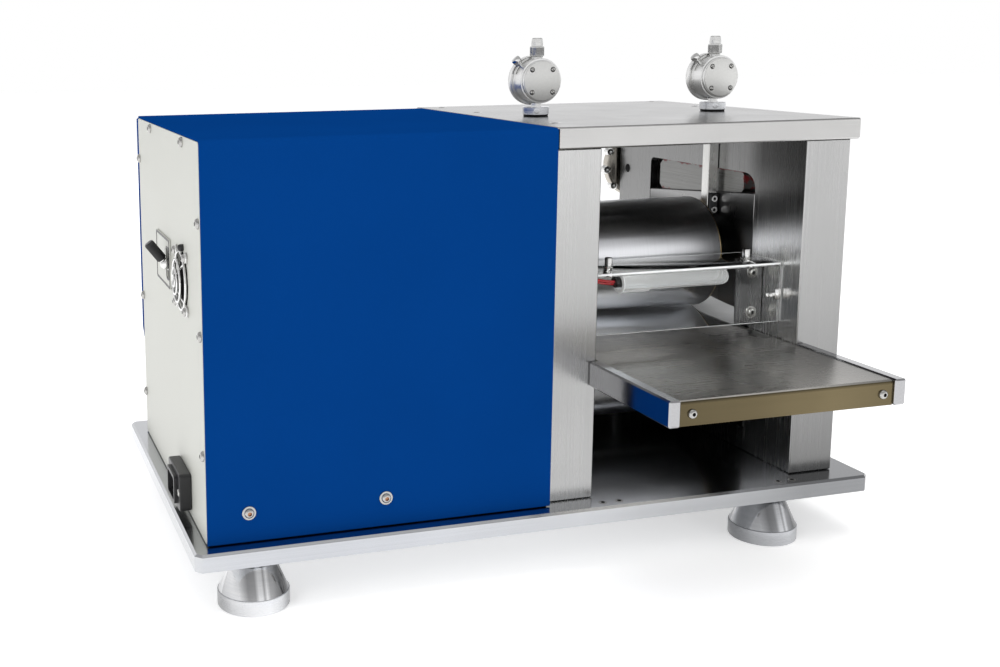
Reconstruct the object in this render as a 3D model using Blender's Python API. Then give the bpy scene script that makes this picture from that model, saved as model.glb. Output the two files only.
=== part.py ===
"""Compact motor-driven two-roll sheeter / rolling press.

A thick plate base on four levelling feet carries a closed drive housing on the
left and an open two-plate roll stand on the right.  Two equal rolls run between
the side plates.  The upper roll sits in bearing blocks that slide in the side
plate windows and are set by a pair of taper wedges, each drawn by a rear
handwheel.  Two small dial gauges on the top plate read the height of the blocks.

Lengths below are millimetres in the machine's layout frame (x from the left end
of the base, y from its front edge, z from its top face); W() turns them into
metres about the part's own origin, the centre of its footprint on the floor.
"""
import math
import bpy
import bmesh
from mathutils import Vector

# ---------------------------------------------------------------- dimensions
OX, OY, OZ = 277.067, 119.75, -50.5          # origin of the part in the layout frame

BASE_L, BASE_D, BASE_T = 562.0, 324.0, 14.0
CORNER, EDGE = 5.0, 1.8                   # base corner and top edge chamfers
FOOT_R, FOOT_H = 26.7, 36.2
TOP_Z, TOP_T = 291.5, 16.5                # top plate
HOUSE_X0, HOUSE_X1 = 11.0, 279.7
HOUSE_Y0, HOUSE_Y1 = 13.0, 292.0
SHEET = 1.8
PL_X0, PL_T = 280.0, 40.0                 # side plates
PR_X0 = 500.0
PL_Y0, PL_Y1 = 21.0, 303.0
WIN_Y0, WIN_Y1 = 84.0, 246.0              # window in each side plate
WIN_Z0, WIN_Z1 = 20.0, 241.5
ROLL_R, ROLL_X0, ROLL_X1 = 48.0, 333.6, 486.4
ROLL_Y, LOW_Z = 157.0, 70.0
NIP = 0.3
UP_Z = LOW_Z + 2 * ROLL_R + NIP
JOUR_R = 15.0
BEAR_RI, BEAR_RO = 15.3, 30.5
BORE_R = 30.8
SLOPE = 0.0855                            # wedge taper
TRAY_Z = 109.5
GAP = 0.3
DIAL_Y, DIAL_Z = 142.0, 321.0
DIAL_XL, DIAL_XR = 325.0, 494.6


def W(x, y, z):
    return Vector(((x - OX) / 1000.0, (y - OY) / 1000.0, (z - OZ) / 1000.0))


# ---------------------------------------------------------------- clean start
for o in list(bpy.data.objects):
    bpy.data.objects.remove(o, do_unlink=True)
for block in (bpy.data.meshes, bpy.data.materials, bpy.data.curves):
    for b in list(block):
        block.remove(b)

COL = bpy.context.scene.collection

MATS = {}


def mat(name, rgb, rough, metal, alpha=1.0, transmission=0.0):
    if name in MATS:
        return MATS[name]
    m = bpy.data.materials.new(name)
    m.use_nodes = True
    p = m.node_tree.nodes["Principled BSDF"]
    p.inputs["Base Color"].default_value = (rgb[0], rgb[1], rgb[2], 1.0)
    p.inputs["Roughness"].default_value = rough
    p.inputs["Metallic"].default_value = metal
    p.inputs["Alpha"].default_value = alpha
    p.inputs["Transmission Weight"].default_value = transmission
    m.diffuse_color = (rgb[0], rgb[1], rgb[2], alpha)
    MATS[name] = m
    return m


STAINLESS = mat("stainless", (0.62, 0.62, 0.61), 0.28, 1.0)
STEEL = mat("ground_steel", (0.55, 0.55, 0.55), 0.32, 1.0)
CHROME = mat("chrome", (0.72, 0.72, 0.73), 0.08, 1.0)
BLUE = mat("blue_powder_coat", (0.003, 0.045, 0.25), 0.42, 0.0)
GREY = mat("light_grey_paint", (0.68, 0.68, 0.64), 0.45, 0.0)
BLACK = mat("black_plastic", (0.02, 0.02, 0.02), 0.4, 0.0)
RED = mat("red_plastic", (0.55, 0.01, 0.01), 0.35, 0.0)
GREEN = mat("green_plastic", (0.01, 0.3, 0.05), 0.35, 0.0)
ACRYLIC = mat("clear_acrylic", (0.92, 0.95, 0.95), 0.03, 0.0, 0.25, 0.9)
BRASS = mat("brass", (0.62, 0.45, 0.2), 0.3, 1.0)
DARK = mat("dark_steel", (0.18, 0.18, 0.19), 0.4, 1.0)
ALU = mat("satin_aluminium", (0.72, 0.72, 0.71), 0.3, 1.0)


# ---------------------------------------------------------------- mesh helpers
def finish(name, bm, material, origin, smooth=False, bevel=0.0):
    """Turn a bmesh given in layout millimetres into an object at its origin."""
    bmesh.ops.remove_doubles(bm, verts=bm.verts, dist=1e-5)
    bmesh.ops.recalc_face_normals(bm, faces=bm.faces)
    o = W(*origin)
    for v in bm.verts:
        v.co = W(*v.co) - o
    me = bpy.data.meshes.new(name)
    bm.to_mesh(me)
    bm.free()
    me.materials.append(material)
    if smooth:
        me.shade_smooth()
        me.set_sharp_from_angle(angle=math.radians(32))
    ob = bpy.data.objects.new(name, me)
    ob.location = o
    COL.objects.link(ob)
    if bevel > 0:
        b = ob.modifiers.new("edge", 'BEVEL')
        b.width = bevel / 1000.0
        b.segments = 1
        b.limit_method = 'ANGLE'
        b.angle_limit = math.radians(40)
    return ob


def loft_bm(rings, bm=None):
    """Closed solid through rings of equal point count, capped at both ends."""
    bm = bm or bmesh.new()
    loops = [[bm.verts.new(p) for p in r] for r in rings]
    n = len(loops[0])
    for a, b in zip(loops, loops[1:]):
        for i in range(n):
            j = (i + 1) % n
            bm.faces.new((a[i], a[j], b[j], b[i]))
    bm.faces.new(list(reversed(loops[0])))
    bm.faces.new(loops[-1])
    return bm


def place(axis, u, v, h):
    """(u, v) in the plane across the axis, h along it, cyclic order kept."""
    if axis == 'X':
        return (h, u, v)
    if axis == 'Y':
        return (v, h, u)
    return (u, v, h)


def box(name, x0, x1, y0, y1, z0, z1, material, bevel=0.0, origin=None):
    rings = [[(x0, y0, z), (x1, y0, z), (x1, y1, z), (x0, y1, z)] for z in (z0, z1)]
    org = origin or ((x0 + x1) / 2, (y0 + y1) / 2, (z0 + z1) / 2)
    return finish(name, loft_bm(rings), material, org, bevel=bevel)


def prism(name, pts, axis, h0, h1, material, origin=None, bevel=0.0, smooth=False):
    rings = [[place(axis, u, v, h) for u, v in pts] for h in (h0, h1)]
    org = origin or rings[0][0]
    return finish(name, loft_bm(rings), material, org, bevel=bevel, smooth=smooth)


def turned(name, prof, axis, centre, material, n=32, origin=None, phase=0.0):
    """prof: (radius, height along axis) in order; flat discs close both ends."""
    rings = []
    cu, cv = centre
    for r, h in prof:
        rings.append([place(axis, cu + r * math.cos(phase + 2 * math.pi * i / n),
                            cv + r * math.sin(phase + 2 * math.pi * i / n), h) for i in range(n)])
    org = origin or place(axis, cu, cv, prof[0][1])
    return finish(name, loft_bm(rings), material, org, smooth=True)


def ring_solid(name, prof, axis, centre, material, n=32, origin=None):
    """Turned solid with a through hole: prof is a closed (radius, height) loop."""
    bm = bmesh.new()
    cu, cv = centre
    loops = []
    for i in range(n):
        a = 2 * math.pi * i / n
        loops.append([bm.verts.new(place(axis, cu + r * math.cos(a), cv + r * math.sin(a), h)) for r, h in prof])
    m = len(prof)
    for i in range(n):
        a, b = loops[i], loops[(i + 1) % n]
        for k in range(m):
            j = (k + 1) % m
            bm.faces.new((a[k], b[k], b[j], a[j]))
    org = origin or place(axis, cu, cv, prof[0][1])
    return finish(name, bm, material, org, smooth=True)


def gear_pts(n, r, module, cu, cv, phase):
    """Straight-flanked gear outline with one tooth centred at angle phase."""
    pts = []
    pitch = 2 * math.pi / n
    rt, rr = r + 0.82 * module, r - 1.15 * module
    back = 0.5
    half = math.pi * module / 4 - back / 2
    tip = (half - 0.82 * module * math.tan(math.radians(20))) / rt
    root = min((half + 1.15 * module * math.tan(math.radians(20))) / rr, pitch * 0.44)
    for k in range(n):
        a = phase + k * pitch
        for rad, d in ((rr, -root), (rt, -tip), (rt, tip), (rr, root)):
            pts.append((cu + rad * math.cos(a + d), cv + rad * math.sin(a + d)))
    return pts


def boolean(target, cutter, op):
    m = target.modifiers.new(op.lower(), 'BOOLEAN')
    m.operation = op
    m.solver = 'EXACT'
    m.object = cutter
    cutter.hide_render = True
    cutter.display_type = 'WIRE'
    return m


def cut(target, *cutters):
    for c in cutters:
        boolean(target, c, 'DIFFERENCE')


def rounded(u0, u1, v0, v1, r, n=4):
    pts = []
    for cu, cv, a0 in ((u1 - r, v0 + r, -90), (u1 - r, v1 - r, 0), (u0 + r, v1 - r, 90), (u0 + r, v0 + r, 180)):
        for i in range(n + 1):
            a = math.radians(a0 + 90 * i / n)
            pts.append((cu + r * math.cos(a), cv + r * math.sin(a)))
    return pts


# ================================================================ base and feet
def octagon(inset, z):
    c = CORNER
    i = inset
    return [(c, i, z), (BASE_L - c, i, z), (BASE_L - i, c, z), (BASE_L - i, BASE_D - c, z),
            (BASE_L - c, BASE_D - i, z), (c, BASE_D - i, z), (i, BASE_D - c, z), (i, c, z)]


finish("base_plate", loft_bm([octagon(EDGE, -BASE_T), octagon(0, -BASE_T + 1.0), octagon(0, -EDGE), octagon(EDGE, 0)]),
       STAINLESS, (0, 0, 0))

FEET = {"foot_front_left": (47.0, 24.0), "foot_front_right": (479.0, 24.0),
        "foot_rear_left": (47.0, BASE_D - 34.0), "foot_rear_right": (515.0, BASE_D - 34.0)}
for nm, (fx, fy) in FEET.items():
    zt = -BASE_T - GAP
    turned(nm, [(FOOT_R - 0.6, zt - FOOT_H), (FOOT_R, zt - FOOT_H + 1.0), (FOOT_R, zt - FOOT_H + 11.8),
                (16.5, zt - 3.0), (14.0, zt - 3.0), (14.0, zt)], 'Z', (fx, fy), STAINLESS, n=24)

# ================================================================ roll stand
def window_pts(front_round=True):
    """Window outline in (y, z): square below, a rounded wedge slot at its top front."""
    pts = [(WIN_Y0, WIN_Z0), (WIN_Y1, WIN_Z0)]
    for i in range(5):
        a = math.radians(90 * i / 4)
        pts.append((WIN_Y1 - 5 + 5 * math.cos(a), WIN_Z1 - 5 + 5 * math.sin(a)))
    for i in range(7):
        a = math.radians(90 + 90 * i / 6)
        pts.append((WIN_Y0 + 15 + 15 * math.cos(a), WIN_Z1 - 13 + 13 * math.sin(a)))
    return pts


ROD_Z = 227.0
for nm, x0 in (("left_side_plate", PL_X0), ("right_side_plate", PR_X0)):
    p = box(nm, x0, x0 + PL_T, PL_Y0, PL_Y1, GAP, TOP_Z - TOP_T - GAP, STEEL, bevel=0.8)
    c1 = prism(nm + "_window_cutter", window_pts(), 'X', x0 - 5, x0 + PL_T + 5, DARK)
    c2 = turned(nm + "_rod_cutter", [(5.6, WIN_Y1 - 10), (5.6, PL_Y1 + 10)], 'Y', (ROD_Z, x0 + PL_T / 2), DARK, n=24)
    cut(p, c1, c2)

tp = box("top_plate", 281.0, 545.0, 16.0, 306.0, TOP_Z - TOP_T, TOP_Z, STAINLESS, bevel=1.2)
for k, dx in (("l", DIAL_XL), ("r", DIAL_XR)):
    cut(tp, turned("top_plate_cutter_" + k, [(4.6, TOP_Z - 40), (4.6, TOP_Z + 20)], 'Z', (dx, DIAL_Y), DARK, n=16))


def block_top(y):
    return 224.9 - SLOPE * (y - WIN_Y0)


for side, x0 in (("left", PL_X0), ("right", PR_X0)):
    b = box("lower_block_" + side, x0, x0 + PL_T, WIN_Y0 + GAP, WIN_Y1 - GAP, WIN_Z0 + GAP, 112.0, STEEL, bevel=0.6)
    cut(b, turned("lower_bore_cutter_" + side, [(BORE_R, x0 - 5), (BORE_R, x0 + PL_T + 5)], 'X', (ROLL_Y, LOW_Z), DARK, n=28))
    ya, yb = WIN_Y0 + GAP, WIN_Y1 - GAP
    u = prism("upper_block_" + side, [(ya, 124.0), (yb, 124.0), (yb, block_top(yb)), (ya, block_top(ya))],
              'X', x0, x0 + PL_T, STEEL, origin=(x0, ROLL_Y, UP_Z), bevel=0.6)
    cut(u, turned("upper_bore_cutter_" + side, [(BORE_R, x0 - 5), (BORE_R, x0 + PL_T + 5)], 'X', (ROLL_Y, UP_Z), DARK, n=28))
    for lv, z in (("lower", LOW_Z), ("upper", UP_Z)):
        ring_solid(lv + "_bearing_" + side,
                   [(BEAR_RI, x0 + 8), (BEAR_RO, x0 + 8), (BEAR_RO, x0 + 32), (BEAR_RI, x0 + 32)],
                   'X', (ROLL_Y, z), DARK, n=28)
    # taper wedge: flat top, underside parallel to the block's sloping top
    wy0, wy1 = 104.0, 234.0
    wt = WIN_Z1 - GAP
    def under(y):
        return block_top(y) + GAP
    w = prism("wedge_" + side,
              [(wy0, under(wy0) + 3), (wy0 + 3, under(wy0 + 3)), (wy1 - 5, under(wy1 - 5)), (wy1, under(wy1) + 5),
               (wy1, wt - 5), (wy1 - 5, wt), (wy0 + 3, wt), (wy0, wt - 3)],
              'X', x0 + 3, x0 + PL_T - 3, STEEL, origin=(x0 + PL_T / 2, wy1, ROD_Z))
    cut(w, turned("wedge_bore_cutter_" + side, [(5.6, wy1 - 45), (5.6, wy1 + 10)], 'Y', (ROD_Z, x0 + PL_T / 2), DARK, n=16))
    turned("adjuster_" + side,
           [(5.0, wy1 - 25), (5.0, PL_Y1 + GAP), (12.0, PL_Y1 + GAP), (12.0, PL_Y1 + 5), (31.0, PL_Y1 + 5), (32.0, PL_Y1 + 6),
            (32.0, PL_Y1 + 17), (31.0, PL_Y1 + 18), (13.0, PL_Y1 + 18), (12.0, PL_Y1 + 22)],
           'Y', (ROD_Z, x0 + PL_T / 2), ALU, n=24, origin=(x0 + PL_T / 2, PL_Y1, ROD_Z))

# gauge bars carried by the upper blocks, reaching up under the dial plungers
for side, xa, xb in (("left", 320.3, 329.7), ("right", 490.3, 499.7)):
    box("gauge_bar_" + side, xa, xb, 137.0, 147.0, 200.0, 272.0, ALU, bevel=0.5)

# ================================================================ rolls and drive
def roll(name, z):
    return turned(name,
                  [(JOUR_R, 249.0), (JOUR_R, 322.0), (22.0, 322.0), (22.0, ROLL_X0 - 1.5), (ROLL_R - 1.0, ROLL_X0 - 1.5), (ROLL_R, ROLL_X0),
                   (ROLL_R, ROLL_X1), (ROLL_R - 1.0, ROLL_X1 + 1.5), (22.0, ROLL_X1 + 1.5), (22.0, 498.0),
                   (JOUR_R, 498.0), (JOUR_R, 540.0)],
                  'X', (ROLL_Y, z), CHROME, n=40, origin=(410.0, ROLL_Y, z))


roll("lower_roll", LOW_Z)
roll("upper_roll", UP_Z)

GEAR_N, GEAR_R = 32, (2 * ROLL_R + NIP) / 2
MODULE = 2 * GEAR_R / GEAR_N
for nm, z, ph in (("lower_gear", LOW_Z, math.pi / 2), ("upper_gear", UP_Z, -math.pi / 2 + math.pi / GEAR_N)):
    g = prism(nm, gear_pts(GEAR_N, GEAR_R, MODULE, ROLL_Y, z, ph), 'X', 256.0, 272.0, DARK, origin=(264.0, ROLL_Y, z))
    cut(g, turned(nm + "_bore_cutter", [(JOUR_R + GAP, 250.0), (JOUR_R + GAP, 278.0)], 'X', (ROLL_Y, z), DARK, n=16))

PIN_N = 16
PIN_Y = ROLL_Y - GEAR_R * 1.5 - 0.18
g = prism("drive_pinion", gear_pts(PIN_N, GEAR_R / 2, MODULE, PIN_Y, LOW_Z, math.pi / PIN_N), 'X', 256.0, 272.0, DARK,
          origin=(264.0, PIN_Y, LOW_Z))
s = turned("drive_shaft_union", [(8.0, 237.0), (8.0, 264.0)], 'X', (PIN_Y, LOW_Z), DARK, n=32)
boolean(g, s, 'UNION')

turned("gearmotor", [(30.0, 92.0), (34.0, 96.0), (34.0, 150.0), (40.0, 150.0), (40.0, 229.0), (22.0, 229.0), (22.0, 236.7)],
       'X', (PIN_Y, LOW_Z), DARK, n=28)
mm = box("motor_mount", 229.3, 236.0, PIN_Y - 46, PIN_Y + 46, GAP, 116.0, STEEL, bevel=0.5)
cut(mm, turned("mount_cutter", [(22.3, 220.0), (22.3, 245.0)], 'X', (PIN_Y, LOW_Z), DARK, n=28))

# ================================================================ drive housing
def u_profile(y0, y1, z0, z1, r, t, n=6):
    outer, inner = [(y0, z0)], [(y0 + t, z0)]
    for i in range(n + 1):
        a = math.radians(180 - 90 * i / n)
        outer.append((y0 + r + r * math.cos(a), z1 - r + r * math.sin(a)))
        inner.append((y0 + r + (r - t) * math.cos(a), z1 - r + (r - t) * math.sin(a)))
    for i in range(n + 1):
        a = math.radians(90 - 90 * i / n)
        outer.append((y1 - r + r * math.cos(a), z1 - r + r * math.sin(a)))
        inner.append((y1 - r + (r - t) * math.cos(a), z1 - r + (r - t) * math.sin(a)))
    outer.append((y1, z0))
    inner.append((y1 - t, z0))
    return outer, inner


def shell_u(name, x0, x1, material):
    outer, inner = u_profile(HOUSE_Y0, HOUSE_Y1, 1.0, TOP_Z, 4.0, SHEET)
    bm = bmesh.new()
    n = len(outer)
    va = [[bm.verts.new((x, y, z)) for y, z in prof] for x in (x0, x1) for prof in (outer, inner)]
    o0, i0, o1, i1 = va
    for k in range(n - 1):
        bm.faces.new((o0[k], o0[k + 1], o1[k + 1], o1[k]))
        bm.faces.new((i0[k], i1[k], i1[k + 1], i0[k + 1]))
        bm.faces.new((o0[k], i0[k], i0[k + 1], o0[k + 1]))
        bm.faces.new((o1[k], o1[k + 1], i1[k + 1], i1[k]))
    bm.faces.new((o0[0], o1[0], i1[0], i0[0]))
    bm.faces.new((o0[-1], i0[-1], i1[-1], o1[-1]))
    return finish(name, bm, material, (x0, HOUSE_Y0, 1.0), smooth=True)


shell_u("housing_cover", HOUSE_X0 + 0.4, HOUSE_X1, BLUE)

FAN_Y, FAN_Z = 86.0, 181.0
SEL_Y, SEL_Z = 143.0, 184.0
INL_Y, INL_Z = 92.0, 21.0
pan = prism("housing_end_panel", rounded(HOUSE_Y0 + SHEET + GAP, HOUSE_Y1 - SHEET - GAP, 1.0, TOP_Z - SHEET - GAP, 2.6, n=3),
            'X', HOUSE_X0, HOUSE_X0 + 2.0, GREY, bevel=0.4)
cut(pan,
    turned("panel_fan_cutter", [(22.5, 5.0), (22.5, 20.0)], 'X', (FAN_Y, FAN_Z), DARK, n=40),
    prism("panel_inlet_cutter", rounded(INL_Y - 14, INL_Y + 14, INL_Z - 10.5, INL_Z + 10.5, 2.0), 'X', 5.0, 20.0, DARK),
    prism("panel_selector_cutter", rounded(SEL_Y - 4.4, SEL_Y + 4.4, SEL_Z - 12, SEL_Z + 12, 2.5), 'X', 5.0, 20.0, DARK))

console = prism("control_console", [(HOUSE_Y1 + GAP, 86.0), (HOUSE_Y1 + 11.0, 97.0), (HOUSE_Y1 + 11.0, TOP_Z - 2.5), (HOUSE_Y1 + GAP, TOP_Z - 2.5)],
                'X', HOUSE_X0 + 0.4, 262.0, BLUE, bevel=1.2)
for k, (bz, bx, depth) in enumerate(((240.0, 235.0, 7.0), (205.0, 110.0, 5.0), (205.0, 150.0, 5.0))):
    cut(console, turned("console_button_cutter_%d" % k, [(9.6, HOUSE_Y1 + 11.0 - depth), (9.6, HOUSE_Y1 + 25.0)], 'Y', (bz, bx), DARK, n=20))

box("power_supply", 28.0, 118.0, 178.0, 276.0, GAP, 46.0, ALU, bevel=1.0)

# mains inlet with a recessed socket
inl = prism("power_inlet", rounded(INL_Y - 24, INL_Y + 24, INL_Z - 14.5, INL_Z + 14.5, 3.0), 'X', 1.5, HOUSE_X0 - GAP, BLACK, bevel=0.6)
bk = prism("inlet_body_union", rounded(INL_Y - 13.5, INL_Y + 13.5, INL_Z - 10, INL_Z + 10, 1.8), 'X', HOUSE_X0 - 2, 30.0, BLACK)
boolean(inl, bk, 'UNION')
cut(inl, prism("inlet_socket_cutter", [(INL_Y - 11.5, INL_Z - 7.5), (INL_Y + 11.5, INL_Z - 7.5), (INL_Y + 11.5, INL_Z + 4), (INL_Y + 8, INL_Z + 7.5),
                                       (INL_Y - 8, INL_Z + 7.5), (INL_Y - 11.5, INL_Z + 4)], 'X', -10.0, 17.0, DARK))

# cooling fan behind the panel, wire finger guard in front of it
ff = box("fan_frame", HOUSE_X0 + 2.3, HOUSE_X0 + 17.0, FAN_Y - 25, FAN_Y + 25, FAN_Z - 25, FAN_Z + 25, BLACK, bevel=1.0)
cut(ff, turned("fan_bore_cutter", [(23.0, 5.0), (23.0, 40.0)], 'X', (FAN_Y, FAN_Z), DARK, n=28))
blades = []
for k in range(7):
    for r, a in ((9.5, 0), (21.5, 8), (21.5, 30), (9.5, 26)):
        t = math.radians(360 / 7 * k + a)
        blades.append((FAN_Y + r * math.cos(t), FAN_Z + r * math.sin(t)))
prism("fan_rotor", blades, 'X', HOUSE_X0 + 5.0, HOUSE_X0 + 14.0, BLACK, origin=(HOUSE_X0 + 9.5, FAN_Y, FAN_Z))

WIRE = 0.9
first = None
for k, (rr, dx) in enumerate(((22.0, 1.4), (16.0, 4.2), (10.0, 5.6), (4.0, 6.2))):
    xx = HOUSE_X0 - GAP - dx
    prof = [(rr - WIRE, xx), (rr, xx - WIRE), (rr + WIRE, xx), (rr, xx + WIRE)]
    g = ring_solid("fan_guard" if k == 0 else "fan_guard_ring_union_%d" % k, prof, 'X', (FAN_Y, FAN_Z), CHROME, n=14)
    if k == 0:
        first = g
    else:
        boolean(first, g, 'UNION')
for k in range(4):
    a = math.radians(45 + 90 * k)
    rings = []
    for r, dx in ((2.6, 6.15), (10.07, 5.47), (16.1, 4.07), (22.1, 1.33), (29.6, 1.31)):
        c = Vector((HOUSE_X0 - GAP - dx, FAN_Y + r * math.cos(a), FAN_Z + r * math.sin(a)))
        t = Vector((0, -math.sin(a), math.cos(a)))
        rings.append([tuple(c + t * (0.8 * u) + Vector((0.8 * v, 0, 0))) for u, v in ((1, 0), (0, 1), (-1, 0), (0, -1))])
    g = finish("fan_guard_spoke_union_%d" % k, loft_bm(rings), CHROME, tuple(rings[0][0]))
    boolean(first, g, 'UNION')

# direction selector: escutcheon plate and small toggle lever
sp = prism("selector_plate", rounded(SEL_Y - 9, SEL_Y + 53, SEL_Z - 20, SEL_Z + 20, 2.0), 'X', HOUSE_X0 - GAP - 1.0, HOUSE_X0 - GAP, GREY)
cut(sp, prism("selector_slot_cutter", rounded(SEL_Y - 4.9, SEL_Y + 4.9, SEL_Z - 12, SEL_Z + 12, 2.5), 'X', 0.0, 20.0, DARK))
PIV = Vector((HOUSE_X0 - 2.8, SEL_Y, SEL_Z))
TILT = math.radians(52.0)
d = Vector((-math.cos(TILT), 0, math.sin(TILT)))
e1 = Vector((0, 1, 0))
e2 = d.cross(e1)
rings = []
for r, h in ((1.5, -9.0), (2.2, -8.0), (2.2, -3.6), (4.0, -2.2), (4.6, 0.0), (4.0, 2.6), (2.9, 4.2), (3.7, 4.6), (3.9, 9.0), (3.9, 20.5), (3.2, 22.0)):
    c = PIV + d * h
    rings.append([tuple(c + e1 * (r * math.cos(2 * math.pi * i / 12)) + e2 * (r * math.sin(2 * math.pi * i / 12))) for i in range(12)])
finish("selector_lever", loft_bm(rings), BLACK, tuple(PIV), smooth=True)

# operator controls on the rear console
CY = HOUSE_Y1 + 11.0 + GAP
turned("estop_button", [(9.0, CY - 1.8), (9.0, CY + 9), (17.0, CY + 11), (19.0, CY + 15), (17.0, CY + 20), (9.0, CY + 22.5)], 'Y', (240.0, 60.0 + 175), RED, n=20)
turned("start_button", [(9.0, CY - 1.8), (9.0, CY + 5), (8.0, CY + 6)], 'Y', (205.0, 110.0), GREEN, n=20)
turned("stop_button", [(9.0, CY - 1.8), (9.0, CY + 5), (8.0, CY + 6)], 'Y', (205.0, 150.0), RED, n=20)
turned("speed_knob", [(11.0, CY), (11.0, CY + 3), (9.5, CY + 4), (8.5, CY + 15), (7.5, CY + 16)], 'Y', (150.0, 130.0), BLACK, n=20)

# ================================================================ trays
def tray(name, y_in, y_out, lip):
    """Bent sheet: flat table with a front lip turned down."""
    t = 2.0
    s = -1 if y_out < y_in else 1
    pts = [(y_in, TRAY_Z - t), (y_in, TRAY_Z), (y_out - s * 3, TRAY_Z), (y_out - s * 0.9, TRAY_Z - 0.9), (y_out, TRAY_Z - 3), (y_out, TRAY_Z - lip),
           (y_out - s * t, TRAY_Z - lip), (y_out - s * t, TRAY_Z - 3), (y_out - s * 3, TRAY_Z - t)]
    return prism(name, pts, 'X', 323.8, 498.7, STAINLESS)


tray("front_tray", 121.0, -88.0, 18.5)
box("tray_rail_left", 314.3, 323.5, -90.5, PL_Y0 - GAP, 91.0, 110.5, STAINLESS, bevel=1.2)
box("tray_rail_right", 499.0, 508.2, -90.5, PL_Y0 - GAP, 91.0, 110.5, STAINLESS, bevel=1.2)
tray("rear_tray", 193.0, 330.0, 16.0)
box("rear_lower_panel", 320.4, 499.6, 298.0, 300.0, GAP, TRAY_Z - 2.3, DARK, bevel=0.4)

# ================================================================ guard, lamp
GY0, GZ0, GZ1 = 44.0, 124.0, 173.5
prism("guard_shield", [(GY0, GZ0), (GY0 + 3, GZ0), (GY0 + 3, GZ1 - 3), (GY0 + 52, GZ1 - 3), (GY0 + 52, GZ1), (GY0, GZ1)], 'X', 321.0, 498.6, ACRYLIC, bevel=0.4)
for side, xa, xb, xw0, xw1 in (("left", 320.4, 344.0, 320.4, 323.4), ("right", 476.0, 499.6, 496.6, 499.6)):
    pts = [(xa, 72.0), (xb, 72.0), (xb, 75.0), (xw1 if side == "left" else xb, 75.0)]
    if side == "left":
        pts = [(xa, 72.0), (xb, 72.0), (xb, 75.0), (xw1, 75.0), (xw1, 96.0), (xa, 96.0)]
    else:
        pts = [(xa, 72.0), (xb, 72.0), (xb, 96.0), (xw0, 96.0), (xw0, 75.0), (xa, 75.0)]
    prism("guard_bracket_" + side, pts, 'Z', 115.0, GZ1 - 3 - GAP, STAINLESS, bevel=0.4)

turned("lamp_tube", [(7.4, 360.0), (8.0, 360.6), (8.0, 384.0), (6.6, 385.0), (6.6, 451.0), (5.4, 455.0), (3.0, 457.0)], 'X', (58.0, 161.5), ACRYLIC, n=20)

cu = bpy.data.curves.new("lamp_lead", 'CURVE')
cu.dimensions = '3D'
cu.bevel_depth = 0.0011
cu.bevel_resolution = 1
cu.use_fill_caps = True
cu.resolution_u = 1
sp_ = cu.splines.new('POLY')
LEAD = [(320.8, 64.5, 165.6), (328.0, 64.0, 166.6), (336.0, 62.4, 166.8), (344.0, 60.6, 165.8), (352.0, 58.8, 163.8), (359.6, 58.0, 162.4)]


def catmull(pts, per):
    out = []
    n = len(pts)
    for i in range(n - 1):
        p0, p1, p2, p3 = (Vector(pts[max(i - 1, 0)]), Vector(pts[i]), Vector(pts[i + 1]), Vector(pts[min(i + 2, n - 1)]))
        for k in range(per):
            t = k / per
            out.append(0.5 * ((2 * p1) + (-p0 + p2) * t + (2 * p0 - 5 * p1 + 4 * p2 - p3) * t * t + (-p0 + 3 * p1 - 3 * p2 + p3) * t ** 3))
    out.append(Vector(pts[-1]))
    return out


path = [W(*p) for p in catmull(LEAD, 3)]
sp_.points.add(len(path) - 1)
for q, p in zip(sp_.points, path):
    q.co = (p.x, p.y, p.z, 1.0)
cu.materials.append(RED)
COL.objects.link(bpy.data.objects.new("lamp_lead", cu))

# ================================================================ dial gauges
for side, dx in (("left", DIAL_XL), ("right", DIAL_XR)):
    ring_solid("dial_collar_" + side, [(4.4, TOP_Z + GAP), (10.5, TOP_Z + GAP), (11.0, TOP_Z + 0.9), (11.0, TOP_Z + 7.4), (10.5, TOP_Z + 8.0), (4.4, TOP_Z + 8.0)],
               'Z', (dx, DIAL_Y), STAINLESS, n=20)
    body = turned("dial_body_" + side,
                  [(17.6, DIAL_Y - 10.5), (18.4, DIAL_Y - 9.8), (18.4, DIAL_Y + 6.0), (20.6, DIAL_Y + 6.6), (20.6, DIAL_Y + 11.5), (19.2, DIAL_Y + 12.5),
                   (18.2, DIAL_Y + 12.5), (18.2, DIAL_Y + 8.5)],
                  'Y', (DIAL_Z, dx), ALU, n=28)
    stem = turned("dial_stem_union_" + side, [(2.0, 273.5), (2.0, 276.5), (4.0, 276.5), (4.0, DIAL_Z - 14)], 'Z', (dx, DIAL_Y), ALU, n=12)
    cap = turned("dial_cap_union_" + side, [(5.0, DIAL_Z + 15), (5.0, DIAL_Z + 20.5), (5.9, DIAL_Z + 21), (5.9, DIAL_Z + 28.0), (4.7, DIAL_Z + 28.6), (4.4, DIAL_Z + 34.6), (3.6, DIAL_Z + 35.4)],
                 'Z', (dx, DIAL_Y), ALU, n=12)
    boolean(body, stem, 'UNION')
    boolean(body, cap, 'UNION')
    prism("dial_pointer_" + side, [(DIAL_Z + 14.5, dx - 0.25), (DIAL_Z + 14.5, dx + 0.25), (DIAL_Z + 2, dx + 1.6), (DIAL_Z - 5, dx + 1.2), (DIAL_Z - 5, dx - 1.2), (DIAL_Z + 2, dx - 1.6)],
          'Y', DIAL_Y + 9.2, DIAL_Y + 9.8, BLACK, origin=(dx, DIAL_Y + 9.5, DIAL_Z))
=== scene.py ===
"""Looks for the motor-driven two-roll sheeter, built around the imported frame.

Lengths in the helpers are millimetres in the machine's layout frame, the same one
that the CAD uses: x from the left end of the base, y from its front edge, z from its
top face.  W() turns them into the row frame in metres.
"""
import math
import bpy
import bmesh
from mathutils import Vector, Matrix


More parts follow.
